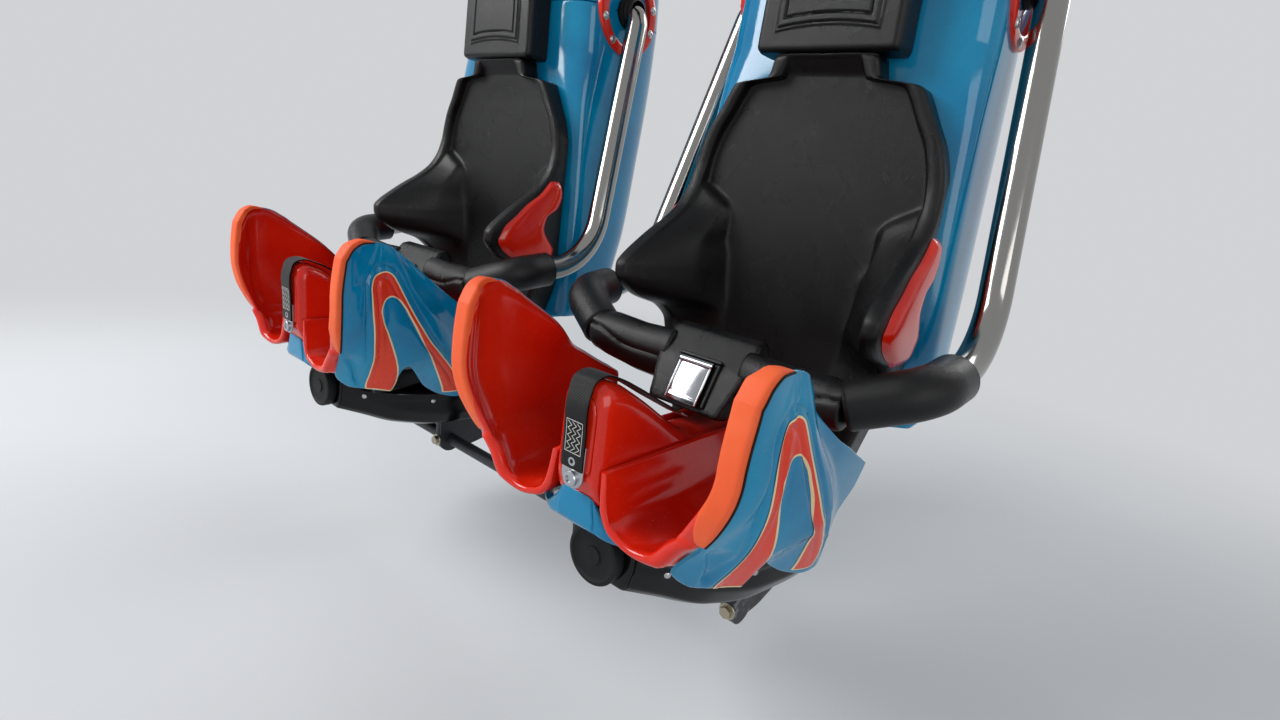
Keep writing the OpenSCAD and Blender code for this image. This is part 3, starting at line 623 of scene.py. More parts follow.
def makeHeadrest(seat):
    # front face on an (x, z) grid whose depth steps down by a double groove round a trapezoid
    z = polyline(np.array(headrest["rows"])[:, None], headrest["rowCounts"])
    u = polyline(np.array(headrest["columns"])[:, None], headrest["columnCounts"]).T
    w = tableAt(headrest["width"], z)
    x = w * u
    bottom = headrest["innerLow"] + 9 * (1 - (x / 92) ** 2)
    beyond = np.maximum(bottom - z, z - headrest["innerTop"])
    beyond = np.maximum(np.abs(x) - tableAt(headrest["inner"], z), beyond)
    face = headrest["face"] - headrest["inset"] * step(-beyond, -3, 4)
    for k in headrest["grooves"]:
        face = face + headrest["depth"] * bump(-beyond, k + 3, 3.2)
    ends = np.minimum(z - headrest["rows"][0], headrest["rows"][-1] - z)
    y = (face + edgeFall(w - np.abs(x), headrest["edge"], headrest["edge"])
         + edgeFall(ends, headrest["end"], headrest["end"]))
    front = np.stack([x, y, z + x * 0], -1)
    piece = makePiece(seat, "headrestMoulding", slabGrids(front, front * [1, 0, 1]), seatFoam, "headrest")


cover = {"lines": [[235, -100, -62], [256, -146, -34], [275, -178, -30], [295, -192, -46], [311, -186, -60],
                   [325, -178, -66], [350, -148, -60], [373, -122, -28], [400, -82, -18], [431, -52, -26]],
         "gap": 0.4, "bulge": 11.5, "taper": 14}


def makePanels(seat):
    # red side covers behind the bolsters: a shallow pillow between a front line and a wavy rear line
    low, top = cover["lines"][0][0], cover["lines"][-1][0]
    z, u = np.linspace(low, top, 60), np.linspace(0, 1, 18)
    front, rear = (k[:, None] for k in tableAt(cover["lines"], z))
    x = tableAt(bucket["rimX"], z)[:, None] + cover["gap"]
    bulge = cover["bulge"] * (1 - (2 * u - 1) ** 4) ** 0.5
    taper = (np.clip(np.minimum(z - low, top - z) / cover["taper"], 0, 1) ** 0.5)[:, None]
    p = np.stack([x + bulge * taper, front + (rear - front) * u, z[:, None] + u * 0], -1)
    back = p.copy()
    back[..., 0] = x
    makePiece(seat, "sideCovers", mirrored(slabGrids(p, back)), redGelcoat, "bolster_panels")
    print(seat, "seat moulding, headrest and side covers")


# leg wings: rulings fan out from the grip between a scalloped lower edge and a rising top edge

wing = {"half": 257, "wall": 5, "fold": 26, "bow": 13, "grip": (-460, 305), "middle": 70, "front": -525,
        "tuckTop": 175,
        "dip": {"y": -345, "z": 212, "cos": 0.856, "sin": 0.523, "deep": 22, "size": (62, 42)},
        # rows of lower y and z, upper y and z, from the front back
        "edge": [[-507, 58, -524, 250], [-496, 8, -512, 272], [-476, -9, -494, 283], [-455, -11, -476, 284],
                 [-432, -16, -459, 282], [-413, -16, -443, 277], [-406, 4, -433, 271], [-401, 34, -424, 266],
                 [-391, 41, -410, 256], [-374, 27, -394, 245], [-350, 1, -374, 231], [-325, -25, -352, 215],
                 [-296, -41, -322, 191], [-263, -45, -286, 163], [-236, -26, -252, 146],
                 [-204, 12, -208, 123], [-168, 64, -162, 102]],
        "folds": [[-45, -0.12], [-28, -0.15], [-15, 0.1], [-9, -0.05], [-2, 0.25], [4, 0.12], [9, 0.36],
                  [18, 0.7], [26, 1], [31, 0.95], [38, 0.3], [45, -0.15], [58, -0.1]],
        "valley": [[8, 0], [13, 20], [19, 32], [22, 28], [24.5, 14], [28, 3], [31, 0]]}


def wingPlain(y, z):
    # half width at (y, z) without the folds: less a tuck under that grows with the square of the drop from
    # its top and towards the front, less a little at the front and the top, less a broad dip at the rear top
    drop = np.maximum(0, wing["tuckTop"] - z)
    front = np.maximum(y - wing["front"], -6)
    dip = wing["dip"]
    v, w = y - dip["y"], z - dip["z"]
    a, b = v * dip["cos"] - w * dip["sin"], v * dip["sin"] + w * dip["cos"]
    tuck = 0.0006 + 0.0045 * np.exp(-front / 26) + 0.0016 * np.exp(-front / 150)
    hollow = dip["deep"] * np.exp(-(a / dip["size"][0]) ** 2 - (b / dip["size"][1]) ** 2)
    return (wing["half"] - tuck * drop * drop - 6 * np.exp(-front / 12)
            - 0.00045 * np.maximum(0, z - 180) ** 2 - hollow)


def wingX(y, z):
    # the same with ridges and valleys set by the angle round the grip, and the deep valley between the lobes
    back, drop = y - wing["grip"][0], wing["grip"][1] - z
    p, r = np.degrees(np.arctan2(back, drop)), np.hypot(back, drop)
    return (wingPlain(y, z) + wing["fold"] * np.minimum(1, r / 250) * tableAt(wing["folds"], p)
            - tableAt(wing["valley"], p) * np.clip((r - 265) / 75, 0, 1.6))


def wingAt(t, j, shift=0.0):
    # t along the edge table, j from the lower edge (0) over the middle height (3) to the top edge (8); the
    # front edge bows forward
    lowY, lowZ, topY, topZ = rowsAt(wing["edge"], t)
    mid = wing["middle"]
    z = np.where(j < 3, lowZ + (mid - lowZ) * j / 3, mid + (topZ - mid) * (j - 3) / 5)
    k = (z - lowZ) / (topZ - lowZ)
    y = lowY + (topY - lowY) * k - wing["bow"] * np.exp(-t / 1.5) * np.sin(math.pi * k)
    return np.stack([wingX(y, z) - shift, y, z], -1)


def makeWings(seat):
    t, j = np.linspace(0, 16, 142)[:, None], np.linspace(0, 8, 66)[None]
    outside, inside = wingAt(t, j), wingAt(t, j, wing["wall"] - 0.2)
    raised = panelStep(outside[..., 1], outside[..., 2])
    outside[..., 0] += raised
    inside[..., 0] += raised * 0.6
    makePiece(seat, "wingSkins", mirrored(slabGrids(outside, inside, 1.0)), blueGelcoat, "outer_wings")


stripe = {"outer": [[-455, -11], [-457, -5], [-459.9, 28.1], [-461.9, 62.8], [-467.9, 95.2], [-472.4, 125.4],
                    [-476.5, 153.8], [-479.1, 185.6], [-480.6, 208.2], [-476, 223.5], [-465.3, 231.3],
                    [-453.3, 233.4], [-442.9, 228.2], [-433.8, 214.8], [-424.5, 196.6], [-412.8, 173.5],
                    [-398.2, 147.3], [-382.4, 122.5], [-362.4, 93.7], [-336.2, 64.8], [-309.9, 36.5],
                    [-287.8, 7.3], [-274.5, -18.8], [-271, -30]],
          "inner": [[-410, -18], [-407, -10], [-408.4, 20.5], [-417.7, 49.6], [-431.6, 84.8], [-444.6, 115.7],
                    [-456.6, 141.2], [-461.1, 165.1], [-454.9, 180.5], [-444, 187.8], [-431, 182.8],
                    [-419.4, 168.8], [-407, 147.3], [-393.8, 125.1], [-379.3, 99.4], [-363.6, 72.6],
                    [-344.4, 43.3], [-322.5, 9.2], [-306.8, -17], [-298, -34]],
          "line": 2.6, "proud": 0.85, "gap": 11, "width": 5, "groove": 3.6, "hollow": 11, "swell": 1.6,
          "ridge": [[1, -477], [33, -488], [57, -501], [72, -507]],
          "rise": [[6, -462], [45, -468], [73, -478]]}


def panelStep(y, z):
    # a groove runs round the painted loop, a little way outside it: its depth goes by the distance from the
    # loop's outer line. The front lobe is hollowed between a ridge and the loop's front edge, under a crease
    line = through(stripe["outer"], 160)
    far = np.sqrt(((np.stack([y, z], -1)[..., None, :] - line) ** 2).sum(-1)).min(-1)
    groove = stripe["groove"] * bump(far, stripe["gap"], stripe["width"]) * step(z, -30, 20)
    ridge, rise = straight(stripe["ridge"], z), straight(stripe["rise"], z)
    across = (y - ridge) / (rise - ridge)
    hollow = bump(across, 0.4, 0.56) * (1 - step(z, 50, 72)) * step(z, -8, 14)
    swell = stripe["swell"] * bump(across, -0.12, 0.4) * (1 - step(z, 56, 72))
    return -groove - stripe["hollow"] * hollow + swell


def makeStripes(seat):
    # the painted loop: red between two edge lines, each line a narrow band along its edge
    def onWing(yz, proud):
        y, z = yz[..., 0], yz[..., 1]
        return surface(np.stack([wingX(y, z) + panelStep(y, z) + proud, y, z], -1))

    def band(line):
        t = np.gradient(line, axis=0)
        normal = np.stack([t[:, 1], -t[:, 0]], -1) / np.linalg.norm(t, axis=1, keepdims=True)
        k = np.linspace(-0.5, 0.5, 4)[None, :, None] * stripe["line"]
        return onWing(line[:, None] + normal[:, None] * k, stripe["proud"] + 0.15)
    a, b = (through(stripe[k], 180) for k in ("outer", "inner"))
    s = np.linspace(0, 1, 12)[None, :, None]
    red = onWing(a[:, None] + (b - a)[:, None] * s, stripe["proud"])
    makePiece(seat, "stripeBands", mirrored([red]), stripeRed, sharp=60)
    ends = [a[i] + (b[i] - a[i]) * np.linspace(0, 1, 20)[:, None] for i in (0, -1)]
    makePiece(seat, "stripeLines", mirrored([band(k) for k in (a, b, *ends)]), stripeCream, sharp=60)


# at: parts of the way out along the floor, with its heights on the inner and the outer face
liner = {"inX": 49, "outX": 40, "at": [0, .02, .17, .43, .68, .85, 1], "in": [95, 56, 29, 19, 26, 54, 70],
         "out": [95, 50, 18, 8, 14, 46, 70], "edge": 12, "paintedShade": [4.2, 11.5],
         "lining": [[0, 26], [0.8, 25.5], [1.3, 20], [2.4, 14.5], [4, 12.5], [11, 12], [16, 8]]}


def liningAt(t, j):
    # inner side of the lining: smooth, so it doesn't follow the skin's folds
    p = wingAt(t, j)
    plain = wingPlain(p[..., 1], p[..., 2])
    p[..., 0] = np.minimum(p[..., 0] - wing["wall"] - 3, plain - wing["wall"] - tableAt(liner["lining"], t))
    return p


def linerGrid(inner, t):
    # floor of the leg channel from the middle out to the wing, then up the wing's inner side
    t, j = t[:, None], np.linspace(3, 8, 36)[None]
    up = wingAt(t, j, wing["wall"])
    if inner:
        # the lining thins to a rounded edge over its last 12 mm below the top
        near = np.clip((up[:, -1:, 2] - up[..., 2]) / liner["edge"], 0, 1)
        up[..., 0] += (liningAt(t, j)[..., 0] - up[..., 0]) * (0.12 + 0.88 * np.sqrt(1 - (1 - near) ** 2))
    start, f = liner["inX" if inner else "outX"], np.linspace(0, 1, 28, endpoint=False)[None]
    lowY, lowZ, topY, topZ = rowsAt(wing["edge"], t)
    front = lowY + (topY - lowY) * 0.1
    x = start + (up[:, :1, 0] - start) * f
    y = front + (up[:, :1, 1] - front) * step(f, 0.85, 1.0)
    z = curve(liner["at"], liner["in" if inner else "out"], f + t * 0)
    return np.concatenate([np.stack([x, y, z], -1), up], 1)


def makeLiners(seat):
    # a slab between two such grids, and a black sheet under the floor: painted shade between the wing's lobes
    t = np.linspace(0, 16, 80)
    outer, inner = linerGrid(False, t), linerGrid(True, t)
    # painted shade: a thin black gloss sheet just under the floor, over the part that shows between the lobes
    paintedShade = linerGrid(False, np.linspace(*liner["paintedShade"], 24))[:, 12:31]
    paintedShade = slabGrids(paintedShade + [1.2, 0, -2.4], paintedShade + [0.3, 0, -0.5])
    makePiece(seat, "floorShadeSheets", mirrored(paintedShade), trayGloss)
    lining = slabGrids(outer, soften(inner, 2, 1), 0.8)
    makePiece(seat, "legLiners", mirrored(lining), redGelcoat, "leg_liners")


# each row of the trim's way: place on the wing (t, j), the direction it stands out (y, z), and how far
rim = {"way": [[0, 3, -1, 0, 1], [0, 4, -1, 0, 1], [0, 5, -1, 0, 1], [0, 6, -1, 0, 1], [0, 7, -1, 0.1, 1],
               [0, 8, -0.86, 0.5, 1], [1, 8, -0.6, 0.8, 0.9], [2, 8, -0.2, 0.98, 0.62], [3, 8, 0, 1, 0.25]],
       "form": [[0, 0], [0, 0.72], [0.1, 0.95], [0.3, 1], [0.7, 1], [0.9, 0.95], [1, 0.72], [1, 0]],
       "formCounts": [4, 4, 3, 4, 3, 4, 4], "depth": 11, "rows": 88, "taper": 16, "paintedShade": 1.5}


def makeRims(seat):
    # soft edge trim: its section runs from the skin's edge to the lining's, up the front and over the grip
    t, j, oy, oz, k = (v[:, None] for v in rowsAt(rim["way"], np.linspace(0, 8, rim["rows"])))
    a = wingAt(t, j) + [0.6, 0, 0]
    b = liningAt(t, j)
    form = soften(polyline(rim["form"], rim["formCounts"]), 2)
    ends = np.sqrt(np.clip(np.arange(1, rim["rows"] + 1) / rim["taper"], 0.02, 1))[:, None]
    out = rim["depth"] * k * form[:, 1] * ends
    across = (b - a) * (0.3 + 0.7 * ends)[:, None]
    p = a + across * form[:, :1] + np.stack([0 * out, out * oy, out * oz], -1)
    q = a + across * np.linspace(0, 1, len(form))[:, None]
    makePiece(seat, "edgeTrims", mirrored(slabGrids(p, q)), rimSoft, "wing_rims")
    # painted shadow: a thin black rubber tube along the skin's edge, for the shadow in the gap between trim
    # and skin
    paintedShade = tube((a + [0.9, 0, 0])[:, 0] + np.stack([0 * oy, oy, oz], -1)[:, 0] * 0.5, rim["paintedShade"], 10)
    makePiece(seat, "edgeShadowStrips", mirrored([solid(paintedShade, 0.4)]), bootRubber)
    print(seat, "wings, stripes, liners and edge trims")


# horn between the leg channels, nose hull under it, tray and roll: half sections that change along the seat

# rows of y, half width, top and bottom
horn = {"rows": [[-516, 26, 186, 84], [-511, 34, 200, 68], [-497, 40, 207, 40], [-470, 40, 200, 30],
                 [-440, 40, 184, 30], [-400, 40, 160, 30], [-360, 40, 134, 30], [-330, 40, 116, 30],
                 [-300, 40, 104, 30], [-168, 40, 98, 30]],
        "runs": [[-516, -490, 20], [-490, -168, 46]], "counts": [6, 6, 6, 12, 10, 3, 6], "shoulder": 95}


def makeHorn(seat):
    y = stations(horn["runs"])
    w, t, b = tableAt(horn["rows"], y)
    c = np.minimum(horn["shoulder"], t - 30)
    half = [[w * 0, t], [w * 0.42, t - 0.6], [w * 0.8, t - 8], [w * 0.98, t - 22], [w, c], [w * 0.985, b + 6],
            [w * 0.94, b], [w * 0, b]]
    makePiece(seat, "hornMoulding", [solid(carried(half, horn["counts"], y, 3), 4.0)], redGelcoat, "horn")


# rows of y, then height and half width at the top, the middle and the bottom
nose = {"rows": [[-506, 54, 26, 20, 34, 8, 34], [-497, 40, 34, 6, 62, -2, 54], [-470, 30, 38, 4, 92, -12, 78],
                 [-436, 30, 38, 0, 110, -18, 98], [-398, 30, 38, -3, 116, -50, 108],
                 [-190, 30, 38, -4, 118, -50, 110], [-162, 30, 38, -4, 108, -50, 100]],
        "runs": [[-506, -390, 42], [-390, -162, 14]], "counts": [8, 12, 12, 12]}


def makeNose(seat):
    y = stations(nose["runs"])
    topZ, topW, midZ, midW, lowZ, lowW = tableAt(nose["rows"], y)
    half = [[y * 0, topZ], [topW, topZ], [midW, midZ], [lowW, lowZ], [y * 0, lowZ]]
    ring = carried(half, nose["counts"], y, 2)
    makePiece(seat, "noseMoulding", [solid(ring, 4.0)], blueGelcoat, "nose_shell", sharp=40)


# rows of y, half width, bottom and top; each screw has its place and the direction its side faces
tray = {"rows": [[-438, 62, -106, -21], [-398, 100, -118, -50.3], [-340, 150, -136, -50.3],
                 [-240, 184, -150, -50.3], [-110, 205, -150, -50.3], [-98, 198, -142, -50.3]],
        "runs": [[-438, -398, 14], [-398, -112, 40], [-112, -98, 6]], "counts": [8, 5, 6, 3, 8, 8, 6, 8],
        "roll": 46, "rollAt": [0, -438, -64], "shoulder": [19, 222, 64], "shoulderAt": [129, -292, -50],
        "screws": [[94.8, -402, -69, 0.743, -0.669], [167.8, -280, -77, 0.935, -0.355]]}


def makeTray(seat):
    y = stations(tray["runs"])
    w, b, top = tableAt(tray["rows"], y)
    half = [[w * 0, top], [w - 8, top], [w, top - 8], [w * 0.985, top - 22], [w * 0.975, top - 25],
            [w * 0.96, b + 40], [w * 0.86, b + 10], [w * 0.72, b], [w * 0, b]]
    ring = carried(half, tray["counts"], y, 1)
    makePiece(seat, "trayMoulding", [solid(ring, 4.0)], trayGloss, "base_tray", sharp=35)
    r = tray["roll"]
    disc = [[0, 0], [r - 4, 0], [r - 1, 1], [r, 3.5], [r, 16.5], [r - 1, 19], [r - 4, 20], [r - 7, 20],
            [r - 8.5, 18.6], [r - 12, 17.6], [16, 17.6], [14.5, 18.2], [14, 20], [0, 20]]
    roll = placed(turned(disc, 96), tray["rollAt"], forwards)
    makePiece(seat, "noseRoll", [roll], bootRubber, "nose_roll", sharp=35)
    shoulder = surface(block(tray["shoulder"], 3) + tray["shoulderAt"], True)
    makePiece(seat, "trayShoulders", mirrored([shoulder]), trayGloss, sharp=40)
    # small dome screws on each side of the tray, each set square to the side
    dome = turned([[0, -1], [5, -1], [5, 1.2], [4, 2.2], [2.2, 2.7], [0, 2.8]], 20)
    screws = [placed(dome, [x, y, z], ([-ny, nx, 0], [0, 0, 1], [nx, ny, 0]))
              for x, y, z, nx, ny in tray["screws"]]
    makePiece(seat, "trayScrews", mirrored(screws), satinBolt, sharp=40)
    makeBrackets(seat)
    print(seat, "horn, nose, tray and roll")


bracket = {"x": 108, "y": -224, "z": -206, "thick": 16, "boltR": 10.5, "boltHigh": 9,
           "outline": [[-222, -142], [-224, -200], [-214, -226], [-190, -235], [-126, -235], [-70, -222],
                       [-44, -200], [-42, -142]]}


def hexBolt(r, high):
    # hexagon head with its washer, turned about Z: the corners are cut by a light chamfer
    a = around(48)
    hexagon = r * math.cos(math.pi / 6) / np.cos((a + math.pi / 6) % (math.pi / 3) - math.pi / 6)
    flat = np.minimum(hexagon, r * 0.93)
    rings = [[0, 0], [r * 1.35, 0], [r * 1.4, 0.8], [r * 1.35, 1.6], [hexagon, 1.7], [hexagon, high * 0.88],
             [flat, high], [r * 0.5, high], [0, high]]
    return np.stack([np.stack([q * np.cos(a), q * np.sin(a), 0 * a + h], -1) for q, h in rings])


def makeBrackets(seat):
    # a black plate under the tray beside each lug, with a zinc-plated bolt that faces forward
    line, thick = loop(bracket["outline"], 8, 3), bracket["thick"]
    mid = line.mean(0)
    layers = np.array([[0, 0.98], [0.6, 0.992], [1.6, 1], [thick - 1.6, 1], [thick - 0.6, 0.992],
                       [thick, 0.98]])
    ring = mid + (line - mid) * layers[:, 1, None, None]
    x = np.broadcast_to(bracket["x"] - thick / 2 + layers[:, :1], ring.shape[:2])
    ring = np.stack([x, ring[..., 0], ring[..., 1]], -1)
    makePiece(seat, "trayBrackets", mirrored([solid(ring, 0.5)]), rodPaint)
    at = [bracket["x"], bracket["y"] + 1, bracket["z"]]
    bolt = placed(hexBolt(bracket["boltR"], bracket["boltHigh"]), at, forwards)
    makePiece(seat, "bracketBolts", mirrored([bolt]), zincBolt, sharp=30)


# seat strap: webbing over the horn with its anchor plate and tongue

strap = {"path": [[-519, 88], [-520, 130], [-520, 190], [-514, 206], [-498, 212], [-470, 205], [-430, 187],
                  [-380, 161], [-340, 141], [-318, 130]],
         "width": 38, "thick": 3, "rows": 100, "columns": 18, "thread": 0.45, "box": (14, 22, 66),
         "zigs": (-8, 0, 8), "zigRun": (24, 60, 10), "plateHalf": 19, "plateTop": 122, "plateLow": 79,
         "plateY": -516, "plateMid": 90, "screwZ": (74, 98), "tongue": [40, 20, 3], "lead": 10.3}


def makeStrap(seat):
    # its width laid across a smooth line over the horn, thinner at both edges, with thread on its upper face
    rows, thick, half = strap["rows"], strap["thick"], strap["width"] / 2
    line = through(strap["path"], rows)
    t = np.gradient(line, axis=0)
    t = t / np.linalg.norm(t, axis=1, keepdims=True)
    normal = np.stack([-t[:, 1], t[:, 0]], -1)
    s, u = along(line), np.linspace(-1, 1, strap["columns"])
    ridge = 0.25 * (1 - np.abs(u) ** 8)

    def lay(h):
        x = np.broadcast_to(u[:, None] * half, (rows, len(u), 1))
        return np.concatenate([x, line[:, None] + normal[:, None] * h[:, None]], -1)
    grids = slabGrids(lay(thick - 0.25 + ridge), lay(0.15 - ridge * 0.3))
    run = np.stack(np.broadcast_arrays(s[:, None] / 1000, (u * half)[None] / 1000), -1)
    grids[0]["uv"] = grids[1]["uv"] = run
    makePiece(seat, "strapWebbing", grids, beltWebbing, "strap", sharp=60)

    def stitch(ends):
        q = np.linspace(*np.array(ends, float), 12)
        k = np.interp(q[:, 1], s, np.arange(rows))
        i = np.clip(k.astype(int), 0, rows - 2)
        f = (k - i)[:, None]
        yz = line[i] * (1 - f) + line[i + 1] * f + normal[i] * (thick + 0.25)
        return surface(tube(np.concatenate([q[:, :1], yz], 1), strap["thread"], 6), True)
    w, low, top = strap["box"]
    zigs = [(k, a) for k in strap["zigs"] for a in range(*strap["zigRun"])]
    lines = [[[k - 3.5, a], [k + 3.5, a + 5]] for k, a in zigs]
    lines += [[[k + 3.5, a + 5], [k - 3.5, a + 10]] for k, a in zigs]
    lines += [[[-w, low], [w, low]], [[-w, top], [w, top]], [[-w, low], [-w, top]], [[w, low], [w, top]]]
    makePiece(seat, "strapStitches", [stitch(k) for k in lines], threadWhite, sharp=60)


def makeStrapEnds(seat):
    # anchor plate with a round lower end and two fasteners, and the tongue that goes under the lap box
    w, low, top = (strap[k] for k in ("plateHalf", "plateLow", "plateTop"))
    mid = np.array([0, strap["plateMid"]])
    a = np.linspace(math.pi, 2 * math.pi, 20)[1:-1]
    end = np.stack([w * np.cos(a), low + w * np.sin(a)], -1)
    line = np.concatenate([[[w, top], [-w, top], [-w, low]], end, [[w, low], [w, top]]])
    line = polyline(line, [10, 8] + [2] * 19 + [8])[:-1]
    layers = [[0, 0], [0.5, 0], [0.96, 0], [1.0, 0.5], [1.0, 2.5], [0.97, 3], [0.5, 3], [0, 3]]
    xz, y = np.stack([mid + (line - mid) * k for k, h in layers]), strap["plateY"] - np.array(layers)[:, 1:]
    plate = np.stack([xz[..., 0], np.broadcast_to(y, xz.shape[:2]), xz[..., 1]], -1)
    head = np.array([[11, 0], [11, 4], [10, 5.4], [7, 6], [5, 6], [4.6, 3.5], [0, 3.4]])
    screws = [placed(turned(q, 32), [0, strap["plateY"] - 3, z], forwards)
              for q, z in zip((head, head * [0.62, 0.6]), strap["screwZ"])]
    last, before = (np.array(strap["path"][k], float) for k in (-1, -2))
    d = (last - before) / np.linalg.norm(last - before)
    axes = [1, 0, 0], [0, d[0], d[1]], [0, -d[1], d[0]]
    tongue = placed(block(strap["tongue"], 1.2), [0, *(last + d * strap["lead"])], axes)
    grids = [surface(plate, True), *screws, tongue]
    makePiece(seat, "strapPlates", grids, brushedPlate, "strap_ends", sharp=35)
    print(seat, "strap")


# lap bar: polished tubes, foam sleeves, moulded pad, buckle box and lid

bar = {"tube": 24, "path": [[224.3, 140, 828], [266, 140, 828], [336, -4, 262], [327, -122, 249]],
       "bends": [0, 40, 152, 0], "sleeve": 36, "sleeveBends": [0, 60, 0],
       "sleevePath": [[327, -122, 249], [321, -200.6, 238.3], [226, -238, 196]],
       "bootX": 228.4, "hubX": 228.3,
       "hub": [[0, 0], [24, 0], [34, 0], [34, 9], [33, 11.4], [30, 12], [24.2, 12], [0, 12]],
       "boot": [[24.4, 34], [27, 33.5], [30.5, 30], [31.5, 27], [29.4, 24], [31.8, 21], [33, 17],
                [31.2, 13.6], [33.4, 10], [34, 6], [34, 1.6], [33, 0.2], [24.4, 0]],
       # rows of x, half height, half depth, and the middle's y and z
       "pad": [[82, 44, 30, -232, 186], [95, 43.5, 30.4, -232.4, 186], [130, 42, 31.6, -233.4, 186],
               [165, 40.5, 32.7, -234.4, 189], [200, 39, 33.9, -235.4, 192.2], [220, 36, 34.6, -236, 194],
               [262, 36, 36, -228, 206]], "padX": (66, 232, 54)}


def makeLapBar(seat):
    # circles carried along bent paths; the hub and its folded boot are turned about the pivot's axis
    line = tube(bent(bar["path"], bar["bends"]), bar["tube"], 32)
    makePiece(seat, "lapTubes", mirrored([solid(line, 2.0)]), polishedTube, "lap_tubes", "lap_bar")
    boot, hub = (placed(turned(q, n), [x, shell["ringY"], shell["ringZ"]], sideways)
                 for q, n, x in ((through(bar["boot"], 60), 44, bar["bootX"]), (bar["hub"], 64, bar["hubX"])))
    makePiece(seat, "hubBoots", mirrored([boot, hub]), bootRubber, body="lap_bar")
    sleeve = tube(bent(bar["sleevePath"], bar["sleeveBends"], 4.0), bar["sleeve"], 44)
    grids = mirrored([solid(sleeve, 7.0)])
    piece = makePiece(seat, "lapSleeves", grids, sleeveFoam, "lap_sleeves", "lap_bar")


def makePad(seat):
    # oval pad section carried from the buckle box out to the sleeve, with a groove that opens at its end
    x, a = np.linspace(*bar["padX"]), around(60)[None]
    h, d, y, z = (v[:, None] for v in tableAt(bar["pad"], x))
    squeeze = 3.4 * bump(np.degrees(a), 180 - 24 * step(x, 150, 225)[:, None], 9)
    r = 1 - squeeze / 34
    p = np.stack([x[:, None] + 0 * a, y + d * np.cos(a) * r, z + h * np.sin(a) * r], -1)
    piece = makePiece(seat, "lapPad", mirrored([solid(p, 6.0)]), seatFoam, "lap_pad", "lap_bar")


lapBox = {"outline": [[-224, 240], [-262, 196], [-296, 130], [-262, 122], [-206, 140], [-196, 160],
                      [-192, 232], [-204, 244]], "half": 82, "taper": 0.2}
lid = {"pin": [-267.86, 199.03], "angle": 62.75, "half": 30, "radius": 6, "middle": -35, "reach": 32}


# set on the lid's hinge, a piece has these axes: across the seat, up along the lid, and out of its face
slope = math.radians(lid["angle"])
lidAt = [0, *lid["pin"]]
across, upLid = [1, 0, 0], [0, math.cos(slope), math.sin(slope)]
outLid = [0, -math.sin(slope), math.cos(slope)]


def makeBox(seat):
    # box section rounded at its corners, carried across the seat with rounded ends
    ring = loop(lapBox["outline"], 16, 5)
    x = np.linspace(-lapBox["half"], lapBox["half"], 40)[:, None]
    taper = 1 - lapBox["taper"] * (1 - step(ring[:, 1], 120, 205))
    p = np.stack([x * taper, ring[:, 0] + 0 * x, ring[:, 1] + 0 * x], -1)
    # a raised frame round the lid: two sides and a top bar on the sloping face
    h = lid["half"]
    bars = [([6, 72, 6], -h - 6, -29), ([6, 72, 6], h + 6, -29), ([2 * h + 18, 6, 6], 0, 10.5)]
    rails = [placed(block(size, 2) + [x, y, -8.5], lidAt, (across, upLid, outLid)) for size, x, y in bars]
    makePiece(seat, "lapBoxMoulding", [solid(p, 9.0, 7)] + rails, seatFoam, "lap_box", "lap_bar")


def makeLid(seat):
    # chromed lid: a crowned plate between two rolled cheeks, a barrel at its hinge, a thumb lip at its foot
    h, r, mid, reach = lid["half"], lid["radius"], lid["middle"], lid["reach"]
    bend = np.sin(np.linspace(-0.5, 0.5, 44) * math.pi)
    x, y = bend[:, None], mid + reach * bend[None]
    near = np.minimum((1 - np.abs(x)) * (h - 3), np.minimum(y - mid + reach, mid + reach - y))
    z = 4.4 - 1.5 * x**2 - 0.0009 * (y - mid) ** 2 - edgeFall(near, 3.2, 2.6) + 1.1 * bump(y, -60, 5)
    top = np.stack([x * (h - 3.2) + 0 * y, y + 0 * x, z], -1)
    low = np.stack([top[..., 0], top[..., 1], -5.6 + 0 * z], -1)
    axes = across, upLid, outLid
    plate = [surface(aimed(g["p"], lidAt, *axes)) for g in slabGrids(top, low)]
    cheeks = [placed(block([4.2, 64, 11], 2) + [k * (h - 2.2), mid, -6.3], lidAt, axes) for k in (-1, 1)]
    barrel = turned([[0, -h], [r - 1, -h], [r, -h + 1], [r, h - 1], [r - 1, h], [0, h]], 32)
    grids = plate + cheeks + [placed(barrel, lidAt, (upLid, outLid, across))]
    makePiece(seat, "buckleLid", grids, chromeLid, "buckle_lever", "buckle", 35)
    print(seat, "lap bar")


# row steelwork

steelwork = {"neckR": 84, "neckLow": -70, "neckTop": -24, "bead": 4.2, "plate": 5, "beamHalf": 560,
             "beamZ": -190, "beamH": 120, "beamD": 140, "postW": 120, "postD": 100, "postL": 78}


def weldBead(x, z, halfX, halfY, square):
    # rippled bead round a foot: a circle where square is one, nearly a rectangle where it is small
    a, b = np.linspace(0, 2 * math.pi, 161)[:, None], around(8)[None]
    r = steelwork["bead"] * (1 + 0.14 * np.sin(40 * a))
    c, s = (np.sign(k) * np.abs(k) ** square for k in (np.cos(a), np.sin(a)))
    out = r * np.cos(b)
    return surface(np.stack([x + (halfX + out) * c, (halfY + out) * s, z + r * np.sin(b)], -1), True)


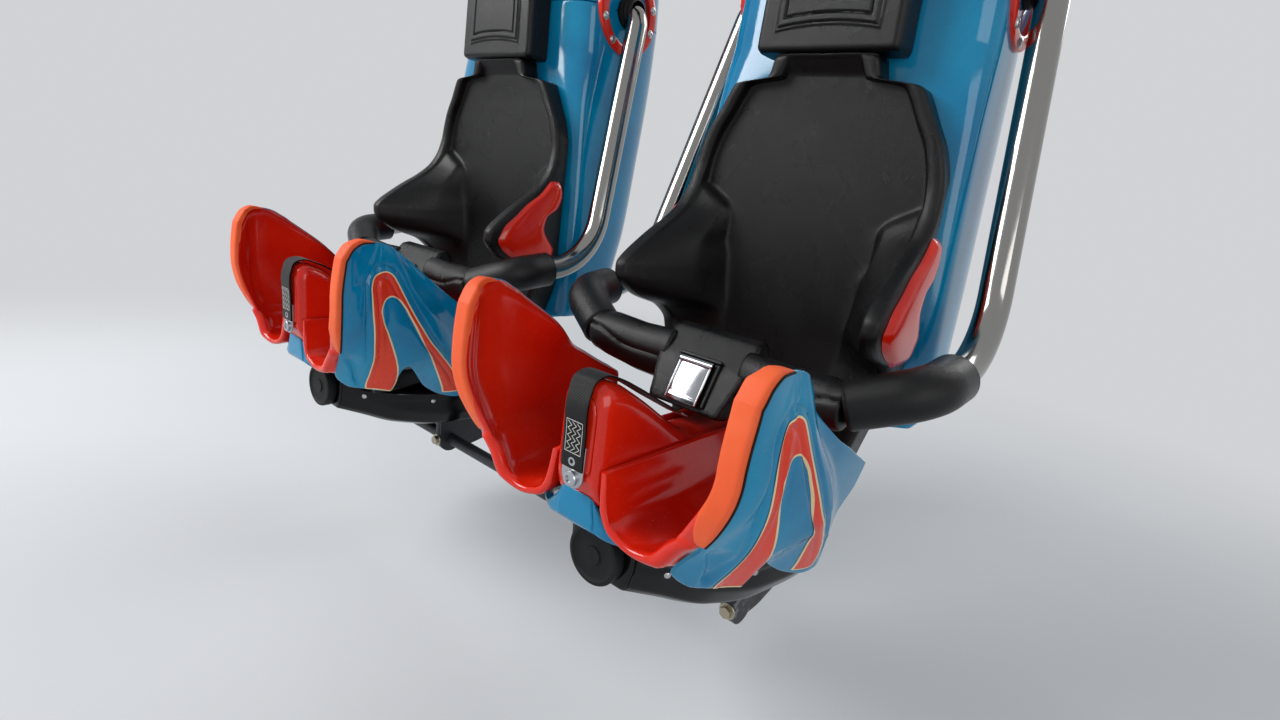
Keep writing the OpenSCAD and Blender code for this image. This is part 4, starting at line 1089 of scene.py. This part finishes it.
def makeSteelwork():
    # rounded blocks for the beam, its posts and end plates, and beads where the neck and the posts are welded
    s = steelwork
    half, depth, height, middle = s["beamHalf"], s["beamD"], s["beamH"], s["beamZ"] + s["beamH"] / 2
    beam = placed(block([depth, height, 2 * half], 10, 6, 20), [-half, 0, middle], sideways)
    makePiece("", "crossBeam", [beam], beamPaint, "cross_beam", sharp=40)
    sides = [k * row["pitch"] / 2 for k in (-1, 1)]
    post = block([s["postW"], s["postD"], s["postL"]], 8, 6) + [0, 0, s["beamZ"] - s["postL"]]
    posts = [surface(post + [x, 0, 0], True) for x in sides]
    makePiece("", "seatPosts", posts, beamPaint, "seat_posts", sharp=40)
    plate = block([depth - 12, height - 12, s["plate"]], 2)
    plates = [placed(plate, [x, 0, middle], sideways) for x in (-half - s["plate"], half)]
    makePiece("", "beamEndPlates", plates, beamPaint, sharp=40)
    beads = [weldBead(0, z, s["neckR"], s["neckR"], 1) for z in (s["neckLow"] + 1, s["neckTop"] - 1)]
    beads += [weldBead(x, s["beamZ"] - 1, s["postW"] / 2, s["postD"] / 2, 0.16) for x in sides]
    makePiece("", "weldBeads", beads, beamPaint, sharp=60)
    for name, finish in (("hanger_flange", beamPaint), ("tie_rod", rodPaint)):
        nodes[name].data.materials.clear()
        nodes[name].data.materials.append(finish[1])
    print("row steelwork")


for seat in seats:
    for make in (makeShells, makePivots, makeBucket, makeHeadrest, makePanels, makeWings, makeStripes,
                 makeLiners, makeRims, makeHorn, makeNose, makeTray, makeStrap, makeStrapEnds, makeLapBar,
                 makePad, makeBox, makeLid):
        make(seat)
makeSteelwork()


# floor, light and camera

studio = {"floor": -1.9, "floorColour": "#cdd0d3", "floorPale": "#d3d6d9", "backdropColour": "#eef0f3",
          "backdrop": 0.74, "world": 0.4, "fade": [1.5, 3.6], "reach": 14,
          # each lamp's place, the point that it faces, its size and its power
          "lamps": {"keyLight": [(-3.2, -3.4, 1.6), (0, -0.3, -1), 2.6, 270],
                    "fillLight": [(3.6, -2.2, -0.2), (0, -0.3, -1), 2.2, 40],
                    "rimLight": [(1.0, 3.4, 1.4), (0, 0, -0.8), 2.0, 60]}}
view = {"x": (0.75982, 0.63596, 0.13498), "y": (-0.26591, 0.11454, 0.95717),
        "z": (0.59326, -0.76317, 0.25614), "at": (0.9397, -1.1417, -1.0049), "lens": 18.17, "sensor": 36}


def seenPlainly(tree):
    # one for rays from the camera, from a gloss and through glass, nothing for the light on the seats
    ray = add(tree, "ShaderNodeLightPath").outputs
    both = mathNode(tree, "MAXIMUM", ray["Is Camera Ray"], ray["Is Glossy Ray"])
    return mathNode(tree, "MAXIMUM", both, ray["Is Transmission Ray"])


def makeStudio():
    # a pale floor with the row's shadow that fades far off into a plain pale backdrop
    ways = -studio["reach"], 0, studio["reach"]
    mesh = bpy.data.meshes.new("studioFloor")
    mesh.from_pydata([(x, y, studio["floor"]) for x in ways for y in ways], [],
                     [(0, 3, 4, 1), (1, 4, 5, 2), (3, 6, 7, 4), (4, 7, 8, 5)])
    floor = bpy.data.objects.new("studioFloor", mesh)
    bpy.context.scene.collection.objects.link(floor)
    material, tree, main, place = newMaterial("palePlaster", {"Roughness": 0.9})
    tone = mix(tree, colour(studio["floorColour"]), colour(studio["floorPale"]), noise(tree, place, 1.5, 3))
    feed(tree, main, Base_Color=tone)
    away = add(tree, "ShaderNodeVectorMath", {"operation": "LENGTH"}, i0=place).outputs["Value"]
    near, far = (math.hypot(k, studio["floor"]) for k in studio["fade"])
    fade = {"interpolation_type": "SMOOTHSTEP", "From Min": near, "From Max": far}
    gone = add(tree, "ShaderNodeMapRange", fade, Value=away).outputs[0]
    gone = mathNode(tree, "MULTIPLY", gone, seenPlainly(tree))
    shine = {"Color": colour(studio["backdropColour"]), "Strength": studio["backdrop"]}
    glow = add(tree, "ShaderNodeEmission", shine).outputs[0]
    blend = add(tree, "ShaderNodeMixShader", {}, Fac=gone, i1=main.outputs[0], i2=glow)
    tree.links.new(blend.outputs[0], tree.nodes["Material Output"].inputs[0])
    mesh.materials.append(material)
    world = bpy.data.worlds.new("studioWorld")
    world.use_nodes = True
    tree = world.node_tree
    tree.nodes.clear()
    levels = {"To Min": studio["world"], "To Max": studio["backdrop"]}
    level = add(tree, "ShaderNodeMapRange", levels, Value=seenPlainly(tree)).outputs[0]
    back = add(tree, "ShaderNodeBackground", {"Color": colour(studio["backdropColour"])}, Strength=level)
    tree.links.new(back.outputs[0], tree.nodes.new("ShaderNodeOutputWorld").inputs[0])
    bpy.context.scene.world = world
    for name, (at, aim, size, power) in studio["lamps"].items():
        light = bpy.data.lights.new(name, "AREA")
        light.size, light.energy = size, power
        lamp = bpy.data.objects.new(name, light)
        lamp.location = at
        lamp.rotation_euler = (Vector(aim) - Vector(at)).to_track_quat("-Z", "Y").to_euler()
        bpy.context.scene.collection.objects.link(lamp)


def makeCamera():
    # found from the two seats in the photograph: 18.2 mm lens, rolled, looking down and across
    turn = Matrix([Vector(view[k]) for k in "xyz"]).transposed().to_4x4()
    turn.translation = Vector(view["at"])
    data = bpy.data.cameras.new("photoCamera")
    data.lens, data.sensor_width = view["lens"], view["sensor"]
    camera = bpy.data.objects.new("photoCamera", data)
    camera.matrix_world = turn
    bpy.context.scene.collection.objects.link(camera)
    bpy.context.scene.camera = camera


makeStudio()
makeCamera()
bpy.context.scene.view_settings.view_transform = "Standard"
print("studio and camera")
